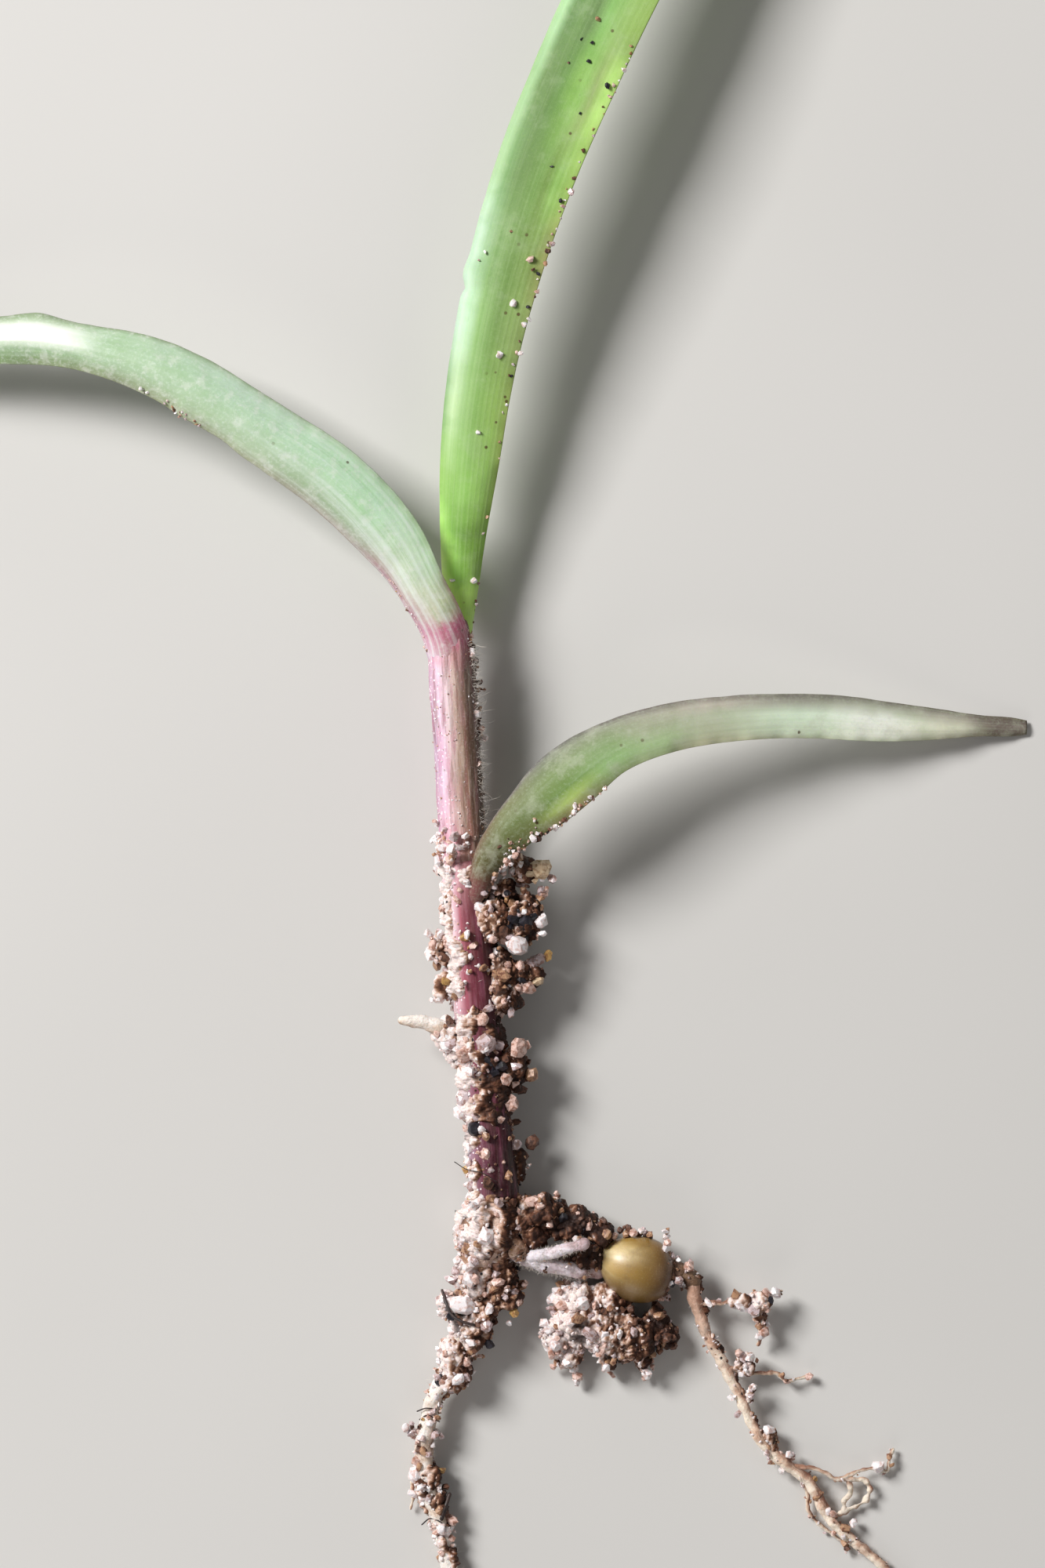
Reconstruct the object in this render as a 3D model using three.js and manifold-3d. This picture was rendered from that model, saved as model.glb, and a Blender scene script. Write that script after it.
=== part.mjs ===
// A foxtail millet seedling, pulled from sandy soil with its seed and roots and laid down on its side.
// Millimetres, +Z up. The shoot points along +Y and the first leaf along +X. The routes below start from
// the crown, where shoot and roots meet, and from the surface that the plant lies on.
import * as THREE from "three";
import { mergeVertices } from "three/addons/utils/BufferGeometryUtils.js";
import Module from "manifold-3d";

const wasm = await Module();
wasm.setup();

// Driving dimensions
const GAP = 0.1; // air between neighbouring pieces
const SLIVER = 0.003; // edges shorter than this are closed up after a cut
const THICKNESS_SHARE = 0.01; // a blade's thickness as a share of its length
const MARGIN_SHARE = 0.4; // a blade's thickness at its margin, as a share of that at its middle
const STEM = { foot: 0.7, waist: 0.63, top: 0.62 }; // radii of the rolled sheaths
const CROWN = { top: 0.68, belly: 0.86, foot: 0.6 };
const SEED = { length: 2.2, width: 1.96, thickness: 1.6, lean: -0.13, centre: [4.32, -2.04, 0.84] };
const SEED_ROOT_SHEATH = { head: 0.34, tip: 0.24 };
const MAIN_ROOT = { head: 0.34, middle: 0.25, tip: 0.09 };
const SEED_ROOT = { head: 0.24, middle: 0.18, tip: 0.07 };
const ROOTLET = { head: 0.1, tip: 0.06 };
const MESOCOTYL_RADIUS = 0.26;
const STUB_RADIUS = 0.17;
const SPUR = { head: 0.36, tip: 0.1 };
const GRAIN = { smallest: 0.3, largest: 0.6 }; // across, the larger grains of the sand only
const SHEATH_MARGIN = { width: 0.26, angle: 0.87, clearance: 0.2 }; // a frill down the stem's right side

const STEM_SIDES = 12;
const ROOT_SIDES = 8;
const ROOTLET_SIDES = 5;
const BLADE_SEGMENTS = 6; // across a blade
const FULL_TURN = 2 * Math.PI;
const UP = new THREE.Vector3(0, 0, 1);

const MATERIALS = {
  firstLeaf: { color: 0x93a583, roughness: 0.45 },
  secondLeaf: { color: 0xa9c4a0, roughness: 0.42 },
  thirdLeaf: { color: 0x86b05f, roughness: 0.4 },
  sheath: { color: 0xb07f92, roughness: 0.45 },
  crown: { color: 0xb59a7c, roughness: 0.7 },
  root: { color: 0xd9c6ac, roughness: 0.65 },
  whiteRoot: { color: 0xd8d0d2, roughness: 0.6 },
  seed: { color: 0x9c8447, roughness: 0.3 },
  rootSheath: { color: 0x6b4a2c, roughness: 0.7 },
  sand: { color: 0xb79c8c, roughness: 0.6 },
};

// Routes and shapes of the shoot

const route = (...points) => new THREE.CatmullRomCurve3(points.map((p) => new THREE.Vector3(...p)));

// A smooth value along a piece, from 0 to 1, through stations of [share of the length, value].
function profile(...stations) {
  const shares = stations.map((station) => station[0]);
  const values = stations.map((station) => station[1]);
  const spline = new THREE.CubicInterpolant(shares, values, 1, new Float64Array(1));
  return (share) => spline.evaluate(share)[0];
}

const lowerSheath = {
  path: route([0.23, 0.1, 1.15], [0.11, 1.8, 1.15], [-0.07, 3.38, 1.15], [-0.25, 5.18, 1.17],
    [-0.4, 6.98, 1.23], [-0.55, 8.6, 1.29], [-0.64, 9.66, 1.35]),
  radius: profile([0, STEM.foot], [0.3, STEM.waist], [0.75, STEM.waist + 0.02], [1, STEM.top]),
};
const upperSheath = {
  path: route([-0.65, 9.86, 1.35], [-0.73, 11.03, 1.4], [-0.82, 12.6, 1.5], [-0.91, 14.17, 1.6],
    [-0.99, 15.5, 1.65], [-1.05, 16.4, 1.7]),
  radius: profile([0, STEM.top], [0.5, STEM.top + 0.03], [0.9, STEM.top], [1, STEM.top - 0.03]),
};

// A leaf's width is how wide it looks from above. Across a leaf, its surface tilts by roll, by curl more
// towards each margin, and by fold more past the midrib, which lies at rib, from -1 to 1.
const firstLeaf = {
  path: route([-0.34, 8.55, 1.85], [0.04, 9.66, 2.27], [0.68, 10.55, 2.53], [1.5, 11.33, 2.7],
    [2.45, 12.16, 2.8], [3.58, 12.94, 2.8], [5.15, 13.5, 2.6], [7.17, 13.8, 2.15], [9.43, 13.86, 1.55],
    [11.7, 13.7, 0.95], [13.65, 13.62, 0.5], [15.58, 13.55, 0.14]),
  width: profile([0, 0.5], [0.08, 0.85], [0.16, 1.36], [0.22, 1.76], [0.28, 1.8], [0.34, 1.54],
    [0.45, 1.36], [0.6, 1.26], [0.74, 1.22], [0.84, 0.95], [0.93, 0.58], [1, 0.42]),
  roll: profile([0, -0.5], [0.25, -0.35], [0.5, -0.15], [1, 0]),
  curl: profile([0, 0.9], [0.25, 0.7], [0.6, 0.65], [1, 0.4]),
  fold: profile([0, 0.4], [0.3, 0.3], [1, 0.1]),
  rib: profile([0, 0], [1, 0]),
  stout: profile([0, 1], [0.8, 1], [1, 0.8]),
  crease: 4,
  bend: 0.36,
};
const secondLeaf = {
  path: route([-1.12, 16.05, 1.9], [-1.3, 16.6, 2.3], [-1.76, 17.41, 2.5], [-2.45, 18.57, 2.65],
    [-3.4, 19.7, 2.8], [-4.57, 20.76, 2.9], [-5.79, 21.59, 2.95], [-7.13, 22.48, 2.95],
    [-8.47, 23.33, 2.9], [-9.82, 23.94, 2.75], [-11.39, 24.35, 2.55], [-12.97, 24.59, 2.3],
    [-15.23, 24.52, 1.85], [-17.52, 24.1, 1.35], [-19.82, 23.37, 0.85], [-21.9, 22.44, 0.45],
    [-23.76, 21.43, 0.1]),
  width: profile([0, 0.9], [0.06, 1.3], [0.13, 1.8], [0.2, 1.92], [0.3, 1.82], [0.44, 1.62], [0.52, 1.32],
    [0.58, 1.38], [0.66, 1.24], [0.8, 0.95], [0.92, 0.5], [1, 0.14]),
  roll: profile([0, -0.5], [0.15, -0.25], [0.4, 0], [0.55, 0.4], [0.7, 0.2], [1, 0]),
  curl: profile([0, 1.0], [0.3, 0.65], [0.6, 0.6], [1, 0.5]),
  fold: profile([0, 0.2], [0.5, 0.3], [1, 0.2]),
  rib: profile([0, 0], [1, 0]),
  stout: profile([0, 1], [0.8, 1], [1, 0.5]),
  crease: 4,
  bend: 0.52,
};
const thirdLeaf = {
  path: route([-0.9, 16.1, 1.55], [-0.76, 16.9, 1.57], [-0.72, 17.6, 1.61], [-0.68, 18.65, 1.75],
    [-0.49, 20.88, 2.05], [-0.22, 23.1, 2.35], [0.21, 25.32, 2.6], [0.81, 27.54, 2.8], [1.57, 29.77, 2.95],
    [2.51, 31.99, 3.0], [3.53, 34.23, 2.95], [4.81, 36.71, 2.75], [6.38, 39.43, 2.45], [8.29, 42.16, 2.05],
    [10.55, 44.93, 1.55], [13.06, 47.49, 0.95], [15.45, 49.71, 0.5], [17.63, 51.72, 0.13]),
  width: profile([0, 0.6], [0.03, 0.8], [0.07, 1.2], [0.13, 1.68], [0.2, 1.9], [0.3, 2.25], [0.42, 2.48],
    [0.52, 2.55], [0.64, 2.36], [0.78, 1.8], [0.9, 0.98], [1, 0.16]),
  roll: profile([0, 0], [0.2, -0.1], [0.35, -0.2], [0.6, -0.15], [1, 0]),
  curl: profile([0, 1.35], [0.1, 1.05], [0.25, 0.5], [0.5, 0.4], [1, 0.25]),
  fold: profile([0, 0], [0.1, 0.2], [0.25, 0.9], [0.5, 1.1], [0.8, 0.7], [1, 0.4]),
  rib: profile([0, 0.3], [0.3, 0.42], [1, 0.1]),
  stout: profile([0, 0.6], [0.15, 1], [0.8, 1], [1, 0.5]),
  crease: 5,
  bend: 0.5,
};

// A narrow frill along the right side of the upper sheath, a little above its skin.
const offset = STEM.top + SHEATH_MARGIN.clearance;
const offsetX = offset * Math.sin(SHEATH_MARGIN.angle);
const offsetZ = offset * Math.cos(SHEATH_MARGIN.angle);
const sheathMargin = {
  path: route(...[0.02, 0.25, 0.5, 0.75, 0.97].map((share) => {
    const { x, y, z } = upperSheath.path.getPointAt(share);
    return [x + offsetX, y, z + offsetZ];
  })),
  width: profile([0, 0.1], [0.3, SHEATH_MARGIN.width], [0.8, SHEATH_MARGIN.width], [1, 0.1]),
  roll: () => SHEATH_MARGIN.angle,
  curl: () => 0.25,
  fold: () => 0,
  rib: () => 0,
  stout: () => 1.6,
  crease: 4,
};

// Routes of the seed and roots

const crown = {
  path: route([-0.2, -1.55, 1.05], [-0.03, -1.1, 1.08], [0.18, -0.55, 1.13], [0.22, -0.06, 1.15]),
  radius: profile([0, CROWN.foot], [0.5, CROWN.belly], [1, CROWN.top]),
};
const mainRootUpper = {
  path: route([-0.21, -1.67, 1.05], [-0.24, -2.3, 1.03], [-0.38, -3.04, 0.95], [-0.68, -3.96, 0.85],
    [-1.08, -4.87, 0.75], [-1.45, -5.66, 0.68], [-1.67, -6.46, 0.61], [-1.79, -7.26, 0.54]),
  radius: profile([0, MAIN_ROOT.head], [0.4, MAIN_ROOT.middle], [1, MAIN_ROOT.middle]),
};
const mainRootLower = {
  path: route([-1.79, -7.4, 0.53], [-1.74, -8.05, 0.49], [-1.49, -8.85, 0.43], [-1.27, -9.64, 0.39],
    [-1.09, -10.48, 0.34], [-0.68, -11.8, 0.28], [-0.19, -13.4, 0.23], [0.04, -15.21, 0.18],
    [-0.19, -17.03, 0.14], [-0.68, -18.84, 0.1]),
  radius: profile([0, MAIN_ROOT.middle], [0.5, 0.72 * MAIN_ROOT.middle], [1, MAIN_ROOT.tip]),
};
const seedRootUpper = {
  path: route([5.92, -2.42, 0.75], [6.02, -2.95, 0.73], [6.27, -3.7, 0.69], [6.72, -4.58, 0.65],
    [7.17, -5.44, 0.61], [7.55, -6.3, 0.56], [8.01, -7.08, 0.51], [8.64, -7.63, 0.45]),
  radius: profile([0, SEED_ROOT.head], [0.5, SEED_ROOT.middle], [1, SEED_ROOT.middle]),
};
const seedRootLower = {
  path: route([8.75, -7.72, 0.44], [9.26, -8.13, 0.39], [9.67, -8.82, 0.34], [10.07, -9.45, 0.3],
    [10.66, -9.96, 0.26], [11.3, -10.5, 0.22], [12.21, -11.37, 0.18], [13.23, -12.28, 0.14],
    [14.02, -13.42, 0.11], [14.52, -14.78, 0.08]),
  radius: profile([0, SEED_ROOT.middle], [0.5, 0.75 * SEED_ROOT.middle], [1, SEED_ROOT.tip]),
};
const mesocotyl = {
  path: route([0.5, -1.3, 1.11], [0.9, -1.52, 1.17], [1.3, -1.7, 1.23], [1.85, -1.88, 1.25],
    [2.55, -2.03, 1.17], [3.45, -2.06, 0.95]),
  radius: () => MESOCOTYL_RADIUS,
};
const stub = {
  path: route([0.5, -0.95, 1.35], [1.2, -1.12, 1.61], [2.1, -1.16, 1.75], [2.87, -1.08, 1.77]),
  radius: () => STUB_RADIUS,
};
const spur = {
  path: route([-0.5, 4.5, 1.21], [-1.0, 4.8, 1.27], [-1.6, 5.05, 1.33], [-2.4, 5.14, 1.37]),
  radius: profile([0, SPUR.head], [0.5, 0.8 * SPUR.head], [1, SPUR.tip]),
};
const seedRootSheath = {
  path: route([5.15, -2.08, 0.76], [5.5, -2.1, 0.76], [5.75, -2.18, 0.76], [5.95, -2.34, 0.75]),
  radius: profile([0, SEED_ROOT_SHEATH.head], [1, SEED_ROOT_SHEATH.tip]),
};
const rootlets = [
  { path: route([6.1, -3.25, 0.71], [6.6, -3.0, 0.75], [7.21, -2.91, 0.75], [7.78, -2.85, 0.68],
      [8.48, -2.58, 0.58]), grains: 9, sandFrom: 0.5 },
  { path: route([6.95, -4.85, 0.64], [7.5, -5.0, 0.56], [8.05, -5.03, 0.45], [8.6, -5.33, 0.34],
      [9.37, -5.16, 0.22]), grains: 5, sandFrom: 0.4 },
  { path: route([8.95, -7.8, 0.42], [9.71, -8.1, 0.45], [10.27, -8.17, 0.42], [10.95, -7.84, 0.34],
      [11.52, -7.69, 0.24], [11.71, -7.29, 0.19]), grains: 6, sandFrom: 0.4 },
  { path: route([9.6, -8.7, 0.35], [9.35, -9.0, 0.3], [9.45, -9.5, 0.24], [9.9, -10.05, 0.19],
      [10.47, -10.5, 0.15]), grains: 4, sandFrom: 0.5 },
  { path: route([-1.75, -7.9, 0.49], [-2.15, -8.25, 0.37], [-2.2, -9.0, 0.22]), grains: 3, sandFrom: 0.5 },
].map((rootlet) => ({ ...rootlet, radius: profile([0, ROOTLET.head], [1, ROOTLET.tip]) }));

// Clumps of damp sand, each with egg-shaped cores that single grains stand out of

const clumps = {
  sand_at_leaf_base: {
    cores: [
      { at: [0.85, 9.0, 1.45], radii: [0.6, 0.8, 0.6] },
      { at: [1.05, 7.9, 1.35], radii: [0.62, 1.0, 0.62] },
      { at: [0.8, 6.3, 1.25], radii: [0.62, 0.9, 0.55] },
    ],
    grains: 28,
  },
  sand_left_of_stem: { cores: [{ at: [-1.3, 7.25, 1.2], radii: [0.3, 0.5, 0.35] }], grains: 7 },
  sand_low_on_stem: { cores: [{ at: [0.8, 3.7, 1.15], radii: [0.38, 0.7, 0.42] }], grains: 13 },
  sand_at_crown: {
    cores: [
      { at: [1.5, -0.35, 1.15], radii: [0.75, 0.5, 0.6] },
      { at: [2.4, -0.75, 1.0], radii: [0.8, 0.5, 0.55] },
    ],
    grains: 22,
  },
  sand_under_seed: {
    cores: [
      { at: [2.95, -3.65, 0.7], radii: [1.1, 0.75, 0.62] },
      { at: [3.95, -4.1, 0.7], radii: [1.1, 0.95, 0.62] },
    ],
    grains: 28,
  },
  sand_on_main_root: {
    cores: [
      { at: [0.35, -2.7, 0.85], radii: [0.75, 0.55, 0.5] },
      { at: [-0.4, -3.5, 0.9], radii: [0.7, 0.95, 0.65] },
      { at: [-0.95, -4.7, 0.75], radii: [0.58, 0.85, 0.55] },
    ],
    grains: 28,
  },
};

// How the shapes are made

// Random numbers from 0 to 1 that are the same on every run.
function seeded(start) {
  let state = start >>> 0;
  return () => {
    state = (state + 0x6d2b79f5) >>> 0;
    let mixed = Math.imul(state ^ (state >>> 15), state | 1);
    mixed ^= mixed + Math.imul(mixed ^ (mixed >>> 7), mixed | 61);
    return ((mixed ^ (mixed >>> 14)) >>> 0) / 4294967296;
  };
}

// Where a route is, which way is across it, and which way is up from it. Past its ends it runs straight on.
function frameAt(path, share) {
  const inside = Math.min(Math.max(share, 0), 1);
  const along = path.getTangentAt(inside);
  const centre = path.getPointAt(inside).addScaledVector(along, (share - inside) * path.getLength());
  const across = along.clone().cross(UP).normalize();
  const up = across.clone().cross(along).normalize();
  return { centre, across, up };
}

// Closes rings with the same number of points into one skin, with a ladder of triangles over each end.
function loft(rings) {
  const sides = rings[0].length;
  const faces = [];
  for (let ring = 0; ring + 1 < rings.length; ring++)
    for (let side = 0; side < sides; side++) {
      const a = ring * sides + side;
      const b = ring * sides + ((side + 1) % sides);
      faces.push(b, a, a + sides, b, a + sides, b + sides);
    }
  const end = (rings.length - 1) * sides;
  for (let low = 0, high = sides - 1; high - low > 1; low++) {
    faces.push(low, low + 1, high, end + low + 1, end + low, end + high);
    if (high - low > 2) faces.push(low + 1, high - 1, high, end + high - 1, end + low + 1, end + high);
    high--;
  }
  return new THREE.BufferGeometry().setFromPoints(rings.flat()).setIndex(faces);
}

// A round limb along its route. With grow it is that much larger all over.
function limb({ path, radius }, { sides = ROOT_SIDES, steps = 20, grow = 0, rough = 0, seed = 1 } = {}) {
  const random = seeded(seed);
  const reach = grow / path.getLength();
  const rings = [];
  for (let step = 0; step <= steps; step++) {
    const share = step / steps;
    const { centre, across, up } = frameAt(path, share * (1 + 2 * reach) - reach);
    const swell = 1 + rough * (random() - 0.5);
    const ring = [];
    for (let side = 0; side < sides; side++) {
      const angle = (FULL_TURN * side) / sides;
      const far = radius(share) * (swell + rough * (random() - 0.5)) + grow;
      const [right, above] = [far * Math.cos(angle), far * Math.sin(angle)];
      ring.push(centre.clone().addScaledVector(across, right).addScaledVector(up, above));
    }
    rings.push(ring);
  }
  return loft(rings);
}

// The middle line of a leaf across its width, from the left margin to the right, centred on its route.
function bladeSection(leaf, share) {
  const finer = 4;
  const count = BLADE_SEGMENTS * finer;
  const turnAt = (u) => {
    const folded = (1 + Math.tanh((u - leaf.rib(share)) * leaf.crease)) / 2;
    return leaf.roll(share) + leaf.curl(share) * u + leaf.fold(share) * folded;
  };
  const line = [{ x: 0, z: 0, u: -1 }];
  for (let i = 0; i < count; i++) {
    const turn = turnAt((2 * i + 1) / count - 1);
    const [x, z] = [line[i].x + Math.cos(turn), line[i].z - Math.sin(turn)];
    line.push({ x, z, u: (2 * (i + 1)) / count - 1 });
  }
  const [low, high] = [Math.min(...line.map((p) => p.x)), Math.max(...line.map((p) => p.x))];
  const scale = leaf.width(share) / (high - low);
  const level = line.reduce((sum, p) => sum + p.z, 0) / line.length;
  return line
    .filter((_, i) => i % finer === 0)
    .map(({ x, z, u }) => {
      const across = (x - (low + high) / 2) * scale;
      return { x: across, z: (z - level) * scale, u, turn: turnAt(u) };
    });
}

// A leaf blade between two shares of its route, thick in the middle and thin at its margins.
function blade(leaf, { from = 0, to = 1, steps = 16, grow = 0 } = {}) {
  const thickness = leaf.path.getLength() * THICKNESS_SHARE;
  const rings = [];
  for (let step = 0; step <= steps; step++) {
    const share = from + ((to - from) * step) / steps;
    const { centre, across, up } = frameAt(leaf.path, share);
    const section = bladeSection(leaf, share);
    const half = (thickness * leaf.stout(share)) / 2;
    const face = (side) =>
      section.map(({ x, z, u, turn }) => {
        const lift = side * (half * (1 - (1 - MARGIN_SHARE) * u * u) + grow);
        return centre
          .clone()
          .addScaledVector(across, x + grow * u + lift * Math.sin(turn))
          .addScaledVector(up, z + lift * Math.cos(turn));
      });
    rings.push([...face(-1), ...face(1).reverse()]);
  }
  return loft(rings);
}

// An egg-shaped grain with one pointed end, from a turned outline.
function seedGeometry(grow = 0) {
  const steps = 10;
  const outline = [];
  for (let i = 0; i <= steps; i++) {
    const angle = (Math.PI * i) / steps;
    const along = -Math.cos(angle);
    const girth = Math.sin(angle) ** 0.85 * (0.94 + 0.1 * along);
    const radius = i % steps ? girth * (SEED.width / 2 + grow) : 0;
    outline.push(new THREE.Vector2(radius, along * (SEED.length / 2 + grow)));
  }
  return new THREE.LatheGeometry(outline, 16)
    .rotateZ(-Math.PI / 2)
    .scale(1, 1, SEED.thickness / SEED.width)
    .rotateZ(SEED.lean)
    .translate(...SEED.centre);
}

function mergedShape(geometry) {
  const bare = geometry.clone();
  for (const name of Object.keys(bare.attributes)) if (name !== "position") bare.deleteAttribute(name);
  return mergeVertices(bare, 1e-4);
}

// A geometry as a solid that can be joined and cut.
function solid(geometry) {
  const { attributes, index } = mergedShape(geometry);
  return new wasm.Manifold(
    new wasm.Mesh({
      numProp: 3,
      vertProperties: Float32Array.from(attributes.position.array),
      triVerts: Uint32Array.from(index.array),
    }),
  );
}

// The largest body of a solid, as a geometry, once its neighbours are cut out of it.
function cutClear(made, neighbours) {
  const left = neighbours.reduce((rest, neighbour) => rest.subtract(solid(neighbour)), made);
  const { vertProperties, triVerts } = left
    .decompose()
    .reduce((a, b) => (b.volume() > a.volume() ? b : a))
    .simplify(SLIVER)
    .getMesh();
  return new THREE.BufferGeometry()
    .setAttribute("position", new THREE.BufferAttribute(vertProperties, 3))
    .setIndex(new THREE.BufferAttribute(triVerts, 1));
}

// A ball, stretched and turned, with its corners moved in and out.
function lump(ball, { at, radii, turn = [0, 0, 0] }, uneven, random) {
  const shape = mergedShape(ball);
  const corners = shape.attributes.position;
  const corner = new THREE.Vector3();
  for (let i = 0; i < corners.count; i++) {
    corner.fromBufferAttribute(corners, i).multiplyScalar(1 + uneven * (2 * random() - 1));
    corner.multiply(new THREE.Vector3(...radii)).applyEuler(new THREE.Euler(...turn));
    corners.setXYZ(i, ...corner.add(new THREE.Vector3(...at)));
  }
  return shape;
}

// Fuses grains of sand to a solid where placeAt puts them, none of them below the floor.
function withGrains(made, count, placeAt, random) {
  let joined = made;
  for (let i = 0; i < count; i++) {
    const size = GRAIN.smallest + (GRAIN.largest - GRAIN.smallest) * random() ** 2;
    const radii = [0, 1, 2].map(() => (size / 2) * (0.8 + 0.4 * random()));
    const turn = [0, 1, 2].map(() => FULL_TURN * random());
    const grain = lump(new THREE.OctahedronGeometry(1), { at: placeAt(), radii, turn }, 0.15, random);
    grain.computeBoundingBox();
    if (grain.boundingBox.min.z > 0) joined = joined.add(solid(grain));
  }
  return joined;
}

// Whether a grain at a point would stay clear of every clump.
function clearOfClumps(point) {
  return Object.values(clumps)
    .flatMap(({ cores }) => cores)
    .every(({ at, radii }) => {
      const reach = new THREE.Vector3(...radii).addScalar(GRAIN.largest + GAP);
      return point.clone().sub(new THREE.Vector3(...at)).divide(reach).length() > 1;
    });
}

// A point on the unit ball in a random direction.
function onBall(random) {
  const height = 2 * random() - 1;
  const angle = FULL_TURN * random();
  const flat = Math.sqrt(1 - height * height);
  return new THREE.Vector3(flat * Math.cos(angle), flat * Math.sin(angle), height);
}

function clump({ cores, grains }, seed, neighbours) {
  const random = seeded(seed);
  const ball = new THREE.IcosahedronGeometry(1, 1);
  const made = cores.map((core) => solid(lump(ball, core, 0.08, random))).reduce((a, b) => a.add(b));
  const placeAt = () => {
    const { at, radii } = cores[Math.floor(random() * cores.length)];
    return onBall(random).multiply(new THREE.Vector3(...radii)).add(new THREE.Vector3(...at));
  };
  return cutClear(withGrains(made, grains, placeAt, random), neighbours);
}

// A limb with grains of sand fused to its skin between two shares of its length.
function sandyLimb(line, options, { grains, from = 0, to = 1, seed, neighbours = [] }) {
  const random = seeded(seed);
  const placeAt = () => {
    const share = from + (to - from) * random();
    const angle = FULL_TURN * random();
    const far = line.radius(share);
    const { centre, across, up } = frameAt(line.path, share);
    centre.addScaledVector(across, far * Math.cos(angle)).addScaledVector(up, far * Math.sin(angle));
    return clearOfClumps(centre) ? centre : placeAt();
  };
  return cutClear(withGrains(solid(limb(line, options)), grains, placeAt, random), neighbours);
}

// The plant, piece by piece

const stemShape = { sides: STEM_SIDES, steps: 14 };
const around = {
  lowerSheath: limb(lowerSheath, { ...stemShape, grow: GAP }),
  upperSheath: limb(upperSheath, { ...stemShape, grow: GAP }),
  crown: limb(crown, { ...stemShape, steps: 8, grow: 1.6 * GAP }),
  firstLeaf: blade(firstLeaf, { to: firstLeaf.bend, grow: GAP }),
  secondLeaf: blade(secondLeaf, { to: secondLeaf.bend, grow: GAP }),
  mesocotyl: limb(mesocotyl, { steps: 8, grow: GAP }),
  stub: limb(stub, { steps: 6, grow: GAP }),
  mainRoot: limb(mainRootUpper, { steps: 16, grow: 1.4 * GAP }),
  mainRootLower: limb(mainRootLower, { steps: 16, grow: 1.4 * GAP }),
  seedRoot: limb(seedRootUpper, { steps: 16, grow: 1.4 * GAP }),
  seedRootLower: limb(seedRootLower, { steps: 16, grow: 1.4 * GAP }),
  seedRootSheath: limb(seedRootSheath, { steps: 5, grow: GAP }),
  seed: seedGeometry(GAP),
  spur: limb(spur, { steps: 8, grow: 1.4 * GAP }),
};
const plant = new THREE.Group();

function add(name, material, geometry) {
  const piece = new THREE.Mesh(geometry, new THREE.MeshStandardMaterial({ ...material, metalness: 0 }));
  piece.name = name;
  plant.add(piece);
}

function addSheaths() {
  add("lower_sheath", MATERIALS.sheath, sandyLimb(lowerSheath, stemShape,
    { grains: 26, from: 0.08, to: 0.8, seed: 11, neighbours: [around.spur] }));
  add("upper_sheath", MATERIALS.sheath, limb(upperSheath, stemShape));
  add("hairy_sheath_margin", MATERIALS.whiteRoot,
    cutClear(solid(blade(sheathMargin, { steps: 9 })),
      [around.upperSheath, around.firstLeaf, around.secondLeaf]));
}

function addLeaves() {
  const split = 0.005; // of a leaf's length, left open where a leaf is in two pieces
  add("first_leaf_inner", MATERIALS.firstLeaf,
    cutClear(solid(blade(firstLeaf, { to: firstLeaf.bend })), [around.lowerSheath, around.upperSheath]));
  add("first_leaf_outer", MATERIALS.firstLeaf, blade(firstLeaf, { from: firstLeaf.bend + split, steps: 20 }));
  add("second_leaf_inner", MATERIALS.secondLeaf,
    cutClear(solid(blade(secondLeaf, { to: secondLeaf.bend, steps: 20 })), [around.upperSheath]));
  add("second_leaf_outer", MATERIALS.secondLeaf,
    blade(secondLeaf, { from: secondLeaf.bend + split, steps: 16 }));
  add("third_leaf_inner", MATERIALS.thirdLeaf,
    cutClear(solid(blade(thirdLeaf, { to: thirdLeaf.bend, steps: 22 })),
      [around.upperSheath, around.secondLeaf]));
  add("third_leaf_outer", MATERIALS.thirdLeaf, blade(thirdLeaf, { from: thirdLeaf.bend + split, steps: 20 }));
}

function addSeed() {
  add("seed", MATERIALS.seed, mergedShape(seedGeometry()));
  add("seed_root_sheath", MATERIALS.rootSheath,
    cutClear(solid(limb(seedRootSheath, { steps: 5 })), [around.seed]));
  add("mesocotyl", MATERIALS.whiteRoot,
    cutClear(solid(limb(mesocotyl, { steps: 12, rough: 0.1, seed: 5 })), [around.crown, around.seed]));
  add("white_root_stub", MATERIALS.whiteRoot,
    cutClear(solid(limb(stub, { steps: 10, rough: 0.1, seed: 6 })), [around.crown, around.mesocotyl]));
}

function addRoots() {
  add("crown", MATERIALS.crown, limb(crown, { sides: STEM_SIDES, steps: 8, rough: 0.14, seed: 3 }));
  add("root_spur", MATERIALS.root,
    cutClear(solid(limb(spur, { steps: 10, rough: 0.2, seed: 7 })), [around.lowerSheath]));
  add("main_root_upper", MATERIALS.root,
    cutClear(solid(limb(mainRootUpper, { rough: 0.12, seed: 21 })), [around.crown]));
  add("main_root_lower", MATERIALS.root,
    sandyLimb(mainRootLower, { rough: 0.12, seed: 22 }, { grains: 14, from: 0.04, to: 0.9, seed: 26 }));
  add("seed_root_upper", MATERIALS.root,
    cutClear(solid(limb(seedRootUpper, { rough: 0.16, seed: 23 })), [around.seedRootSheath]));
  add("seed_root_lower", MATERIALS.root, limb(seedRootLower, { rough: 0.16, seed: 24 }));
  const carriers = [around.seedRoot, around.seedRootLower, around.mainRootLower];
  rootlets.forEach((rootlet, i) =>
    add(`rootlet_${i + 1}`, MATERIALS.root, sandyLimb(rootlet, { sides: ROOTLET_SIDES, steps: 8 },
      { grains: rootlet.grains, from: rootlet.sandFrom, seed: 30 + i, neighbours: carriers })));
}

function addSand() {
  Object.entries(clumps).forEach(([name, heap], i) =>
    add(name, MATERIALS.sand, clump(heap, 41 + i, Object.values(around))));
}

addSheaths();
addLeaves();
addSeed();
addRoots();
addSand();

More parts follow.
